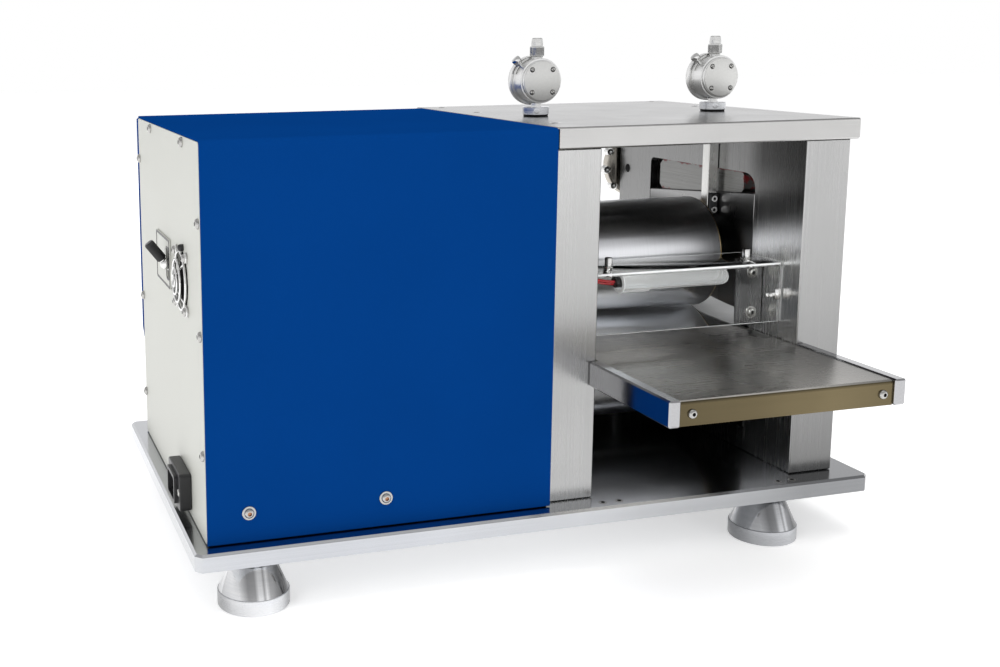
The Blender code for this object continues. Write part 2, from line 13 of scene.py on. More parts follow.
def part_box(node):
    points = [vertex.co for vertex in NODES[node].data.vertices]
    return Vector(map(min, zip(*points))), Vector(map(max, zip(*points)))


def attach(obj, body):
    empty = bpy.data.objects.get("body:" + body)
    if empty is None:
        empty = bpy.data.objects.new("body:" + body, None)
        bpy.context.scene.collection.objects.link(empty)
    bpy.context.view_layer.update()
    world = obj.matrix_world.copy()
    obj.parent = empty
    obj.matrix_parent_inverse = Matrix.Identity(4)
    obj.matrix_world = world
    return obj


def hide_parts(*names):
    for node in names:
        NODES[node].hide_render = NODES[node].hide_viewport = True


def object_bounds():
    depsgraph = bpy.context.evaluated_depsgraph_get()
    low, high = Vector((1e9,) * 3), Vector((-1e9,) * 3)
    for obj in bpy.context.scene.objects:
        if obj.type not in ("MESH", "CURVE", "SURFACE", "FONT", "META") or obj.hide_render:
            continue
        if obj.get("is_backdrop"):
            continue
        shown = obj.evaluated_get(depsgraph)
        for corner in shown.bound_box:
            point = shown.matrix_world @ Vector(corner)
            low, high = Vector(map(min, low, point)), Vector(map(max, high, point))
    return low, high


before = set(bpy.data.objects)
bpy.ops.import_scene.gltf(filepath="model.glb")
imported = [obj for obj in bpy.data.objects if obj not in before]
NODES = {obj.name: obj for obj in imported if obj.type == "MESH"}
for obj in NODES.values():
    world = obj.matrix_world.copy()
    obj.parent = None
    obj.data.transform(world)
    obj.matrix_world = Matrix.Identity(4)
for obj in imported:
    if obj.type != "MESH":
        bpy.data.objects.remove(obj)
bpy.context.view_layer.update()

_lo, _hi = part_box("base_plate")
# layout origin: left end, front edge and top face of the base plate
OX, OY, OZ = -_lo.x * 1000.0, -_lo.y * 1000.0, -_hi.z * 1000.0


def W(x, y, z):
    return Vector(((x - OX) / 1000.0, (y - OY) / 1000.0, (z - OZ) / 1000.0))


# =============================================================== materials
def new_mat(name):
    m = bpy.data.materials.new(name)
    m.use_nodes = True
    return m, m.node_tree, m.node_tree.nodes["Principled BSDF"]


def coords(nt, scale):
    tc = nt.nodes.new("ShaderNodeTexCoord")
    mp = nt.nodes.new("ShaderNodeMapping")
    mp.inputs["Scale"].default_value = scale
    nt.links.new(tc.outputs["Object"], mp.inputs["Vector"])
    return mp.outputs["Vector"]


def noise(nt, scale, detail=3.0, rough=0.55):
    n = nt.nodes.new("ShaderNodeTexNoise")
    n.inputs["Scale"].default_value = 1.0
    n.inputs["Detail"].default_value = detail
    n.inputs["Roughness"].default_value = rough
    nt.links.new(coords(nt, scale), n.inputs["Vector"])
    return n.outputs["Fac"]


def mapr(nt, value, a, b, c, d):
    n = nt.nodes.new("ShaderNodeMapRange")
    nt.links.new(value, n.inputs["Value"])
    for k, v in (("From Min", a), ("From Max", b), ("To Min", c), ("To Max", d)):
        n.inputs[k].default_value = v
    return n.outputs["Result"]


def calc(nt, op, a, b):
    n = nt.nodes.new("ShaderNodeMath")
    n.operation = op
    for i, v in enumerate((a, b)):
        if isinstance(v, (int, float)):
            n.inputs[i].default_value = v
        else:
            nt.links.new(v, n.inputs[i])
    return n.outputs[0]


def mixc(nt, fac, a, b):
    n = nt.nodes.new("ShaderNodeMix")
    n.data_type = 'RGBA'
    for sock, v in ((n.inputs[0], fac), (n.inputs[6], a), (n.inputs[7], b)):
        if hasattr(v, "is_linked"):
            nt.links.new(v, sock)
        elif isinstance(v, (int, float)):
            sock.default_value = v
        else:
            sock.default_value = (v[0], v[1], v[2], 1.0)
    return n.outputs[2]


def bump(nt, p, height, strength, dist):
    n = nt.nodes.new("ShaderNodeBump")
    n.inputs["Strength"].default_value = strength
    n.inputs["Distance"].default_value = dist
    nt.links.new(height, n.inputs["Height"])
    nt.links.new(n.outputs["Normal"], p.inputs["Normal"])


def axis_z(nt):
    tc = nt.nodes.new("ShaderNodeTexCoord")
    s = nt.nodes.new("ShaderNodeSeparateXYZ")
    nt.links.new(tc.outputs["Object"], s.inputs[0])
    return s.outputs


def scale_rgb(c, k):
    return tuple(min(1.0, v * k) for v in c)


def painted_light_ramp(nt, value, steps):
    """Piecewise linear factor of one coordinate, used to paint light and shade: steps are (metres, factor), rising."""
    r = nt.nodes.new("ShaderNodeValToRGB")
    a, b = steps[0][0], steps[-1][0]
    nt.links.new(mapr(nt, value, a, b, 0.0, 1.0), r.inputs["Fac"])
    el = r.color_ramp.elements
    el[0].position, el[0].color = 0.0, (steps[0][1],) * 3 + (1,)
    el[1].position, el[1].color = 1.0, (steps[-1][1],) * 3 + (1,)
    for pos, k in steps[1:-1]:
        e = el.new((pos - a) / (b - a))
        e.color = (k, k, k, 1)
    return r.outputs["Color"]


def mul(nt, a, b):
    n = nt.nodes.new("ShaderNodeMix")
    n.data_type = 'RGBA'
    n.blend_type = 'MULTIPLY'
    n.inputs[0].default_value = 1.0
    nt.links.new(a, n.inputs[6])
    nt.links.new(b, n.inputs[7])
    return n.outputs[2]


def metal(name, rgb, rough, grain, bump_s=0.2, dist=0.00005, var=0.05, cloud=0.05, rvar=0.05, cloud_scale=16.0, metallic=1.0,
          zone=None, painted_light=None, inner=None):
    """Metal with a directional grain, slow clouding and optional colour change along one axis.

    zone: (axis index, from m, to m, colour at the start); the base colour holds at the end.
    tone: (axis index, steps) painted light and shade, an even change of brightness along one axis.
    inner: (front y in m, steps along z, deep factor) painted shade on the faces behind the front face, darker still
    deep inside.
    """
    m, nt, p = new_mat(name)
    g = noise(nt, grain, 2.5, 0.6)
    c = noise(nt, (cloud_scale,) * 3, 4.0, 0.55)
    mixed = calc(nt, 'ADD', calc(nt, 'MULTIPLY', g, var / (var + cloud)), calc(nt, 'MULTIPLY', c, cloud / (var + cloud)))
    k = var + cloud
    fac = mapr(nt, mixed, 0.3, 0.7, 0.0, 1.0)
    col = mixc(nt, fac, scale_rgb(rgb, 1 - k), scale_rgb(rgb, 1 + k))
    if zone:
        ax, a, b, c2 = zone
        t = mapr(nt, axis_z(nt)[ax], a, b, 0.0, 1.0)
        col = mixc(nt, t, mixc(nt, fac, scale_rgb(c2, 1 - k), scale_rgb(c2, 1 + k)), col)
    # painted shade on the faces behind the front face: darker along z by the steps, darker still deep inside
    if inner:
        behind = mapr(nt, axis_z(nt)[1], inner[0] + 0.0004, inner[0] + 0.0016, 0.0, 1.0)
        deep = mapr(nt, axis_z(nt)[1], inner[0] + 0.055, inner[0] + 0.075, 0.0, 1.0)
        painted_inside_shade = mul(nt, col, painted_light_ramp(nt, axis_z(nt)[2], inner[1]))
        painted_inside_shade = mixc(nt, deep, painted_inside_shade, scale_rgb(rgb, inner[2]))
    # painted light and shade: brightness steps along one axis
    if painted_light:
        col = mul(nt, col, painted_light_ramp(nt, axis_z(nt)[painted_light[0]], painted_light[1]))
    if inner:
        col = mixc(nt, behind, col, painted_inside_shade)
    nt.links.new(col, p.inputs["Base Color"])
    nt.links.new(mapr(nt, mixed, 0.3, 0.7, rough - rvar, rough + rvar), p.inputs["Roughness"])
    p.inputs["Metallic"].default_value = metallic
    bump(nt, p, g, bump_s, dist)
    return m


def paint(name, rgb, rough, spec, scale, bump_s, dist, var=0.05, coat=0.0):
    m, nt, p = new_mat(name)
    g = noise(nt, (scale,) * 3, 3.0, 0.6)
    c = noise(nt, (9.0,) * 3, 3.0, 0.5)
    mixed = calc(nt, 'ADD', calc(nt, 'MULTIPLY', g, 0.6), calc(nt, 'MULTIPLY', c, 0.4))
    nt.links.new(mixc(nt, mapr(nt, mixed, 0.32, 0.68, 0.0, 1.0), scale_rgb(rgb, 1 - var), scale_rgb(rgb, 1 + var)), p.inputs["Base Color"])
    nt.links.new(mapr(nt, g, 0.3, 0.7, rough - 0.05, rough + 0.06), p.inputs["Roughness"])
    p.inputs["Specular IOR Level"].default_value = spec
    if coat:
        p.inputs["Coat Weight"].default_value = coat
        p.inputs["Coat Roughness"].default_value = 0.15
    bump(nt, p, g, bump_s, dist)
    return m


def at(d, steps):
    """The same steps from another origin (metres)."""
    return tuple((a + d, k) for a, k in steps)


M = {}
PLATE_ZC = (137.5 - OZ) / 1000.0
FRONT_Y = (21.0 - OY) / 1000.0
# base plate: painted shade, darker towards the right end along x
M["plate_x"] = metal("brushed_stainless_x_painted_shade", (0.80, 0.815, 0.84), 0.17, (5, 1300, 1300), 0.3, 0.00004, 0.04, 0.03, 0.05,
                     painted_light=(0, at(-OX / 1000.0, ((0.0, 0.68), (0.10, 0.70), (0.30, 0.72), (0.42, 0.50), (0.50, 0.32), (0.562, 0.32)))))
# top plate: painted shade, a dark line at the lower edge of the front face and a darker top face
M["top_x"] = metal("brushed_stainless_top_painted_shade", (0.66, 0.655, 0.645), 0.22, (5, 1300, 1300), 0.3, 0.00004, 0.04, 0.04, 0.05,
                   painted_light=(2, at((283.25 - OZ) / 1000.0, ((-0.00826, 0.12), (-0.0078, 0.85), (0.0074, 0.86), (0.0080, 0.42)))))
M["side_z"] = metal("ground_side_plate", (0.60, 0.60, 0.60), 0.24, (1100, 1100, 7), 0.4, 0.00005, 0.06, 0.05, 0.06)
# left side plate: painted shade, darker low down than at the top; the faces behind its front face get painted shade,
# darker still deep inside
M["left_plate"] = metal("ground_left_plate_painted_shade", (0.60, 0.60, 0.595), 0.26, (700, 700, 5), 0.3, 0.00004, 0.05, 0.03, 0.05,
                        painted_light=(2, at(PLATE_ZC, ((-0.137, 0.78), (-0.115, 0.68), (-0.06, 0.63), (0.01, 0.64), (0.08, 0.76), (0.137, 0.92)))),
                        inner=(FRONT_Y, at(PLATE_ZC, ((-0.137, 0.35), (0.137, 0.35))), 0.25))
# right side plate: a painted shaded copy of the left plate, dark overall and darkest low down; the faces behind its
# front face get a painted light band below and painted shade near the top
M["right_plate"] = metal("ground_right_plate_painted_shade", (0.92, 0.92, 0.915), 0.26, (700, 700, 5), 0.3, 0.00004, 0.05, 0.03, 0.05,
                         painted_light=(2, at(PLATE_ZC, ((-0.137, 0.20), (-0.115, 0.22), (-0.05, 0.30), (0.01, 0.38), (0.08, 0.46), (0.137, 0.51)))),
                         inner=(FRONT_Y, at(PLATE_ZC, ((-0.137, 0.90), (-0.03, 1.0), (0.065, 0.92), (0.090, 0.22), (0.115, 0.12), (0.137, 0.10))), 0.25))
# bearing blocks and motor mount: painted shade low down, painted light on the faces above about 0.26 m height
M["block"] = metal("ground_block_painted_shade", (0.30, 0.30, 0.30), 0.30, (700, 700, 12), 0.3, 0.00005, 0.06, 0.05, 0.06, 40.0,
                   painted_light=(2, ((0.070, 0.22), (0.2505, 0.22), (0.262, 1.0), (0.280, 1.0))))
M["bracket"] = metal("guard_bracket_steel", (0.12, 0.12, 0.122), 0.26, (700, 700, 12), 0.3, 0.00005, 0.07, 0.07, 0.06, 40.0)
M["turned"] = metal("turned_stainless", (0.66, 0.67, 0.69), 0.17, (30, 30, 2200), 0.35, 0.00005, 0.05, 0.03, 0.05)
M["chrome"] = metal("chrome_roll", (0.86, 0.87, 0.895), 0.30, (1600, 6, 6), 0.05, 0.00002, 0.03, 0.02, 0.02)
_nt = M["chrome"].node_tree
_p = _nt.nodes["Principled BSDF"]
_p.inputs["Anisotropic"].default_value = 0.88
_p.inputs["Anisotropic Rotation"].default_value = 0.25
_tg = _nt.nodes.new("ShaderNodeTangent")
_tg.direction_type = 'RADIAL'
_tg.axis = 'X'
_nt.links.new(_tg.outputs["Tangent"], _p.inputs["Tangent"])
M["screw"] = metal("screw_steel", (0.46, 0.455, 0.44), 0.16, (300, 300, 300), 0.08, 0.00003, 0.06, 0.05, 0.04)
M["bright"] = metal("bright_steel", (0.74, 0.74, 0.73), 0.12, (300, 300, 300), 0.08, 0.00003, 0.04, 0.04, 0.03)
# tray sheets: painted shade, darker towards both ends along x and darkest at the right end
M["polish"] = metal("polished_sheet_painted_shade", (0.66, 0.64, 0.60), 0.27, (6, 700, 700), 0.12, 0.00003, 0.05, 0.07, 0.04, 22.0,
                    painted_light=(0, ((0.046, 0.72), (0.09, 0.95), (0.15, 1.0), (0.195, 0.60), (0.222, 0.42))))
# tray lip: the warm brown base colour is a painted reflection of brown surroundings, plus painted shade along x
M["lip"] = metal("lip_painted_warm_reflection", (0.198, 0.160, 0.090), 0.21, (4, 900, 900), 0.2, 0.00004, 0.05, 0.05, 0.05, 20.0,
                 painted_light=(0, ((0.046, 0.52), (0.11, 0.62), (0.17, 0.85), (0.222, 0.70))))
M["rail"] = metal("polished_rail", (0.42, 0.42, 0.43), 0.12, (700, 5, 700), 0.15, 0.00003, 0.05, 0.05, 0.03)
M["alu"] = metal("satin_aluminium", (0.80, 0.80, 0.79), 0.30, (900, 900, 900), 0.2, 0.00004, 0.04, 0.03, 0.05)
M["bar"] = metal("gauge_bar_steel", (0.72, 0.72, 0.70), 0.30, (500, 500, 30), 0.2, 0.00004, 0.05, 0.04, 0.05)
M["cover"] = metal("gauge_back_cover", (0.78, 0.78, 0.76), 0.50, (600, 600, 600), 0.2, 0.00004, 0.03, 0.03, 0.04)
M["knurl"] = metal("knurled_metal", (0.64, 0.64, 0.63), 0.25, (500, 500, 500), 0.2, 0.00004, 0.06, 0.04, 0.05)
M["brass"] = metal("bronze_ring", (0.66, 0.50, 0.27), 0.22, (900, 60, 60), 0.2, 0.00004, 0.07, 0.06, 0.05)
M["wheel"] = metal("handwheel_steel", (0.50, 0.47, 0.42), 0.22, (60, 900, 60), 0.2, 0.00004, 0.07, 0.08, 0.05)
M["dark"] = metal("oiled_steel", (0.17, 0.17, 0.18), 0.36, (500, 500, 500), 0.25, 0.00005, 0.08, 0.12, 0.06)
M["blue"] = paint("blue_powder_coat", (0.0012, 0.0380, 0.1870), 0.46, 0.0, 1500, 0.5, 0.00012, 0.07)
M["grey"] = paint("light_grey_coat", (0.525, 0.53, 0.49), 0.42, 0.30, 1300, 0.25, 0.00008, 0.02)
M["black"] = paint("black_plastic", (0.012, 0.012, 0.013), 0.36, 0.5, 900, 0.3, 0.00006, 0.2)
# near black: painted shade in screw sockets, slots, the gaps round screw heads and the rear column's hole; also the
# real dark rubber of the gauge collar's O-ring
M["deep"] = paint("painted_recess_shade_and_black_rubber", (0.006, 0.006, 0.007), 0.7, 0.2, 500, 0.1, 0.00005, 0.2)
M["red"] = paint("red_plastic", (0.52, 0.010, 0.012), 0.30, 0.5, 500, 0.15, 0.00005, 0.08)
M["wire"] = paint("red_wire_sleeve", (0.60, 0.012, 0.020), 0.28, 0.5, 700, 0.15, 0.00003, 0.12)
M["green"] = paint("green_plastic", (0.01, 0.26, 0.05), 0.30, 0.5, 500, 0.15, 0.00005, 0.08)
M["white"] = paint("white_mark", (0.80, 0.80, 0.78), 0.45, 0.4, 500, 0.1, 0.00003, 0.03)
M["copper"] = metal("copper_socket", (0.42, 0.22, 0.13), 0.35, (400, 400, 400), 0.2, 0.00004, 0.1, 0.1, 0.05)


def acrylic(name, rgb, rough, ior=1.47):
    m, nt, p = new_mat(name)
    c = noise(nt, (25.0,) * 3, 3.0, 0.5)
    nt.links.new(mixc(nt, c, scale_rgb(rgb, 0.98), rgb), p.inputs["Base Color"])
    nt.links.new(mapr(nt, c, 0.3, 0.7, max(0.0, rough - 0.01), rough + 0.02), p.inputs["Roughness"])
    p.inputs["Transmission Weight"].default_value = 1.0
    p.inputs["IOR"].default_value = ior
    return m


def frosted(name, rgb):
    """Milky tube wall: mostly clear, a third of it scattering."""
    m, nt, p = new_mat(name)
    c = noise(nt, (40.0, 200.0, 200.0), 3.0, 0.5)
    nt.links.new(mixc(nt, c, scale_rgb(rgb, 0.96), rgb), p.inputs["Base Color"])
    nt.links.new(mapr(nt, c, 0.3, 0.7, 0.03, 0.07), p.inputs["Roughness"])
    p.inputs["Transmission Weight"].default_value = 0.93
    p.inputs["IOR"].default_value = 1.25
    p.inputs["Emission Color"].default_value = (1, 1, 1, 1)
    p.inputs["Emission Strength"].default_value = 0.08
    return m


M["frosted"] = frosted("frosted_tube", (0.95, 0.96, 0.96))
M["acrylic"] = acrylic("clear_acrylic", (0.975, 0.985, 0.98), 0.015, 1.16)
M["glass"] = acrylic("dial_glass", (0.99, 0.99, 0.99), 0.01)


def painted_glow_edge_material():
    m, nt, p = new_mat("acrylic_edge_painted_glow")
    # pale colour and a little emission: a painted glow for the light the cut edges gather
    c = noise(nt, (120, 120, 120), 3.0, 0.6)
    nt.links.new(mixc(nt, mapr(nt, c, 0.3, 0.7, 0, 1), (0.80, 0.82, 0.82), (0.97, 0.98, 0.98)), p.inputs["Base Color"])
    nt.links.new(mapr(nt, c, 0.3, 0.7, 0.3, 0.5), p.inputs["Roughness"])
    p.inputs["Emission Color"].default_value = (1, 1, 1, 1)
    p.inputs["Emission Strength"].default_value = 0.12
    return m


M["edge"] = painted_glow_edge_material()


def greased(name, z_lo, z_hi, y_front):
    """Ground wedge with red grease squeezed out along its edges."""
    m, nt, p = new_mat(name)
    g = noise(nt, (900, 14, 900), 2.5, 0.6)
    blot = noise(nt, (170, 110, 170), 4.0, 0.65)
    xyz = axis_z(nt)
    top = mapr(nt, xyz[2], z_hi - 0.0045, z_hi + 0.0002, 0.0, 0.42)
    low = mapr(nt, xyz[2], z_lo + 0.0050, z_lo, 0.0, 0.42)
    nose = mapr(nt, xyz[1], y_front + 0.0045, y_front, 0.0, 0.34)
    amount = calc(nt, 'ADD', calc(nt, 'MAXIMUM', calc(nt, 'MAXIMUM', top, low), nose), blot)
    mask = mapr(nt, amount, 0.80, 0.88, 0.0, 1.0)
    steel = mixc(nt, mapr(nt, g, 0.3, 0.7, 0, 1), (0.17, 0.17, 0.165), (0.24, 0.24, 0.235))
    nt.links.new(mixc(nt, mask, steel, (0.20, 0.010, 0.012)), p.inputs["Base Color"])
    nt.links.new(mapr(nt, mask, 0.0, 1.0, 1.0, 0.0), p.inputs["Metallic"])
    nt.links.new(mapr(nt, g, 0.3, 0.7, 0.26, 0.38), p.inputs["Roughness"])
    bump(nt, p, calc(nt, 'ADD', g, mask), 0.3, 0.00010)
    return m


def set_mat(node, mat):
    o = NODES[node]
    o.data.materials.clear()
    o.data.materials.append(mat)


# =============================================================== mesh helpers
def basis(out):
    out = Vector(out).normalized()
    ref = Vector((0, 0, 1)) if abs(out.z) < 0.9 else Vector((1, 0, 0))
    e1 = ref.cross(out).normalized()
    return e1, out.cross(e1), out


def lathe(bm, prof, origin, out, n=96, mi=0, ring=False, radial=None, phase=0.0, mis=None):
    """Turned solid about out through origin. prof is (radius, height) pairs; a pole has radius 0."""
    e1, e2, e3 = basis(out)
    o = Vector(origin)
    loops = []
    for k, (r, h) in enumerate(prof):
        if r == 0:
            loops.append([bm.verts.new(o + e3 * h)])
            continue
        row = []
        for i in range(n):
            a = phase + 2 * math.pi * i / n
            rr = radial(a, r, h, k) if radial else r
            row.append(bm.verts.new(o + e1 * (rr * math.cos(a)) + e2 * (rr * math.sin(a)) + e3 * h))
        loops.append(row)
    pairs = list(zip(loops, loops[1:])) + ([(loops[-1], loops[0])] if ring else [])
    faces = []
    for k, (a, b) in enumerate(pairs):
        m_i = mis[k] if mis else mi
        for i in range(n):
            j = (i + 1) % n
            if len(a) == 1 and len(b) == 1:
                continue
            if len(a) == 1:
                f = bm.faces.new((a[0], b[j], b[i]))
            elif len(b) == 1:
                f = bm.faces.new((a[i], a[j], b[0]))
            else:
                f = bm.faces.new((a[i], a[j], b[j], b[i]))
            f.material_index = m_i
            faces.append(f)
    if not ring:
        for loop, rev, k in ((loops[0], True, 0), (loops[-1], False, -1)):
            if len(loop) > 1:
                f = bm.faces.new(list(reversed(loop)) if rev else loop)
                f.material_index = (mis[k] if mis else mi)
    return faces


def merge(bm, tmp, mi):
    for f in tmp.faces:
        f.material_index = mi
    me = bpy.data.meshes.new("tmp")
    tmp.to_mesh(me)
    tmp.free()
    bm.from_mesh(me)
    bpy.data.meshes.remove(me)


def bevel_all(tmp, r, seg, limit=30.0):
    if r <= 0:
        return
    edges = [e for e in tmp.edges if len(e.link_faces) == 2 and e.calc_face_angle(0) > math.radians(limit)]
    bmesh.ops.bevel(tmp, geom=edges, offset=r, offset_type='OFFSET', segments=seg, profile=0.5, affect='EDGES', clamp_overlap=True)


def prism(bm, pts, axis, h0, h1, r=0.0, seg=2, mi=0, xf=None):
    """Extruded outline: pts are (u, v) across the axis in cyclic order."""
    tmp = bmesh.new()
    def put(u, v, h):
        p = {'X': (h, u, v), 'Y': (v, h, u), 'Z': (u, v, h)}[axis]
        return xf @ Vector(p) if xf else p
    lo = [tmp.verts.new(put(u, v, h0)) for u, v in pts]
    hi = [tmp.verts.new(put(u, v, h1)) for u, v in pts]
    n = len(pts)
    for i in range(n):
        j = (i + 1) % n
        tmp.faces.new((lo[i], lo[j], hi[j], hi[i]))
    tmp.faces.new(list(reversed(lo)))
    tmp.faces.new(hi)
    bmesh.ops.recalc_face_normals(tmp, faces=tmp.faces)
    bevel_all(tmp, r, seg)
    merge(bm, tmp, mi)


def block(bm, x0, x1, y0, y1, z0, z1, r=0.4, seg=2, mi=0, xf=None):
    prism(bm, [(x0, y0), (x1, y0), (x1, y1), (x0, y1)], 'Z', z0, z1, r, seg, mi, xf)


def rounded(u0, u1, v0, v1, r, n=6):
    pts = []
    for cu, cv, a0 in ((u1 - r, v0 + r, -90), (u1 - r, v1 - r, 0), (u0 + r, v1 - r, 90), (u0 + r, v0 + r, 180)):
        for i in range(n + 1):
            a = math.radians(a0 + 90 * i / n)
            pts.append((cu + r * math.cos(a), cv + r * math.sin(a)))
    return pts


def outline_ring(bm, outer, inner, axis, h0, h1, mi=0):
    """Flat frame between two outlines of equal point count."""
    def put(u, v, h):
        return {'X': (h, u, v), 'Y': (v, h, u), 'Z': (u, v, h)}[axis]
    L = [[bm.verts.new(put(u, v, h)) for u, v in pts] for h in (h0, h1) for pts in (outer, inner)]
    o0, i0, o1, i1 = L
    n = len(outer)
    for a, b in ((o0, o1), (o1, i1), (i1, i0), (i0, o0)):
        for k in range(n):
            j = (k + 1) % n
            f = bm.faces.new((a[k], a[j], b[j], b[k]))
            f.material_index = mi


def tube(bm, pts, r, n=14, mi=0, closed=False):
    """Round wire along a list of points."""
    P = [Vector(p) for p in pts]
    m = len(P)
    t0 = (P[1] - P[-1 if closed else 0]).normalized()
    ref = Vector((0, 0, 1)) if abs(t0.z) < 0.9 else Vector((1, 0, 0))
    e1 = t0.cross(ref).normalized()
    rings = []
    prev = t0
    for i in range(m):
        if closed:
            t = (P[(i + 1) % m] - P[i - 1]).normalized()
        else:
            t = (P[min(i + 1, m - 1)] - P[max(i - 1, 0)]).normalized()
        q = prev.rotation_difference(t)
        e1 = (q @ e1)
        e1 = (e1 - t * e1.dot(t)).normalized()
        e2 = t.cross(e1)
        prev = t
        rings.append([bm.verts.new(P[i] + e1 * (r * math.cos(2 * math.pi * k / n)) + e2 * (r * math.sin(2 * math.pi * k / n))) for k in range(n)])
    last = m if closed else m - 1
    for i in range(last):
        a, b = rings[i], rings[(i + 1) % m]
        for k in range(n):
            j = (k + 1) % n
            f = bm.faces.new((a[k], a[j], b[j], b[k]))
            f.material_index = mi
    if not closed:
        bm.faces.new(list(reversed(rings[0]))).material_index = mi
        bm.faces.new(rings[-1]).material_index = mi


def catmull(pts, per=8):
    out = []
    n = len(pts)
    V = [Vector(p) for p in pts]
    for i in range(n - 1):
        p0, p1, p2, p3 = V[max(i - 1, 0)], V[i], V[i + 1], V[min(i + 2, n - 1)]
        for k in range(per):
            t = k / per
            out.append(0.5 * ((2 * p1) + (-p0 + p2) * t + (2 * p0 - 5 * p1 + 4 * p2 - p3) * t * t + (-p0 + 3 * p1 - 3 * p2 + p3) * t ** 3))
    out.append(V[-1])
    return out


def screw(bm, pos, out, r=4.0, h=2.4, hexr=1.5, depth=1.4, style="button", mi=0, md=1, n=36, washer=0.0, twist=0.0):
    """Hexagon-socket screw head standing on a surface at pos, facing out."""
    if washer:
        lathe(bm, [(0, 0.0), (washer - 0.15, 0.0), (washer, 0.15), (washer, 0.65), (washer - 0.2, 0.85), (0, 0.85)], pos, out, n, mi)
        pos = Vector(pos) + Vector(out).normalized() * 0.8
    if style == "button":
        prof = [(r * 0.97, -0.1), (r, 0.12 * h), (r * 0.965, 0.40 * h), (r * 0.86, 0.68 * h), (r * 0.70, 0.88 * h), (r * 0.52, h)]
    elif style == "cap":
        prof = [(r, -0.1), (r, 0.88 * h), (r * 0.94, h), (r * 0.62, h)]
    else:  # flush, countersunk
        prof = [(r, -0.1), (r, 0.06), (r * 0.94, 0.14), (r * 0.62, 0.16)]
        h = 0.16
    e1, e2, e3 = basis(out)
    o = Vector(pos)
    def ring(fr, hh):
        return [bm.verts.new(o + e1 * (fr(a) * math.cos(a)) + e2 * (fr(a) * math.sin(a)) + e3 * hh) for a in (2 * math.pi * i / n for i in range(n))]
    def hexf(a):
        return hexr / math.cos(((a + twist + math.pi / 6) % (math.pi / 3)) - math.pi / 6)
    loops = [ring(lambda a, q=q: q, hh) for q, hh in prof]
    loops.append(ring(hexf, h))
    loops.append(ring(hexf, h - depth))
    # the socket walls and floor take material md, mostly the near-black painted shade material
    for k, (a, b) in enumerate(zip(loops, loops[1:])):
        for i in range(n):
            j = (i + 1) % n
            f = bm.faces.new((a[i], a[j], b[j], b[i]))
            f.material_index = md if k == len(loops) - 2 else mi
    bm.faces.new(list(reversed(loops[0]))).material_index = mi
    bm.faces.new(loops[-1]).material_index = md


PIECES = []


def done(name, bm, body, mats, replaces=(), sharp=34.0):
    """Layout millimetres to the row frame, normals out, shading, body."""
    bmesh.ops.recalc_face_normals(bm, faces=bm.faces)
    for v in bm.verts:
        v.co = W(*v.co)
    me = bpy.data.meshes.new(name)
    bm.to_mesh(me)
    bm.free()
    for m in mats:
        me.materials.append(M[m])
    me.shade_smooth()
    me.set_sharp_from_angle(angle=math.radians(sharp))
    ob = bpy.data.objects.new(name, me)
    bpy.context.scene.collection.objects.link(ob)
    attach(ob, body)
    if replaces:
        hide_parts(*replaces)
    PIECES.append(ob)
    return ob


X, Y, Z = (1, 0, 0), (0, 1, 0), (0, 0, 1)
NX, NY = (-1, 0, 0), (0, -1, 0)

# =============================================================== camera and stage
cam = bpy.data.cameras.new("camera")
cam_ob = bpy.data.objects.new("camera", cam)
bpy.context.scene.collection.objects.link(cam_ob)
bpy.context.scene.camera = cam_ob
F_PX, CX, CY = 1232.0, 290.0, 240.0
cam.sensor_fit = 'HORIZONTAL'
cam.sensor_width = 36.0
cam.lens = F_PX / 1000.0 * 36.0
cam.shift_x = (500.0 - CX) / 1000.0
cam.shift_y = (CY - 333.5) / 1000.0
cam.clip_start, cam.clip_end = 0.05, 100.0
yaw, pitch, roll = 0.2653, 0.1633, -0.0110
fwd = Vector((math.sin(yaw) * math.cos(pitch), math.cos(yaw) * math.cos(pitch), -math.sin(pitch)))
right = Vector((math.cos(yaw), -math.sin(yaw), 0.0))
up = right.cross(fwd)
r2 = right * math.cos(roll) + up * math.sin(roll)
u2 = -right * math.sin(roll) + up * math.cos(roll)
mat = Matrix((r2, u2, -fwd)).transposed().to_4x4()
mat.translation = W(-147.88, -806.17, 359.26)
cam_ob.matrix_world = mat

# plain pale floor
bm = bmesh.new()
for a, b in (((-9, -9), (9, 9)),):
    vs = [bm.verts.new((x, y, -0.0002)) for x, y in ((a[0], a[1]), (b[0], a[1]), (b[0], b[1]), (a[0], b[1]))]
    bm.faces.new(vs)
me = bpy.data.meshes.new("floor")
bm.to_mesh(me)
bm.free()
floor = bpy.data.objects.new("floor", me)
bpy.context.scene.collection.objects.link(floor)
m, nt, p = new_mat("pale_floor")
c = noise(nt, (3, 3, 3), 3.0, 0.5)
nt.links.new(mixc(nt, c, (0.86, 0.86, 0.86), (0.90, 0.90, 0.90)), p.inputs["Base Color"])
p.inputs["Roughness"].default_value = 0.85
p.inputs["Specular IOR Level"].default_value = 0.0
p.inputs["Emission Color"].default_value = (1, 1, 1, 1)
p.inputs["Emission Strength"].default_value = 0.42
me.materials.append(m)
floor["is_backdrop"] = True

# world: white to the camera, a soft graded studio for light and reflections
world = bpy.data.worlds.new("studio")
bpy.context.scene.world = world
world.use_nodes = True
wn = world.node_tree
wn.nodes.clear()
out = wn.nodes.new("ShaderNodeOutputWorld")
mixn = wn.nodes.new("ShaderNodeMixShader")
lp = wn.nodes.new("ShaderNodeLightPath")
bg1 = wn.nodes.new("ShaderNodeBackground")
bg2 = wn.nodes.new("ShaderNodeBackground")
bg2.inputs["Color"].default_value = (1, 1, 1, 1)
bg2.inputs["Strength"].default_value = 1.0
tc = wn.nodes.new("ShaderNodeTexCoord")
sep = wn.nodes.new("ShaderNodeSeparateXYZ")
wn.links.new(tc.outputs["Generated"], sep.inputs[0])
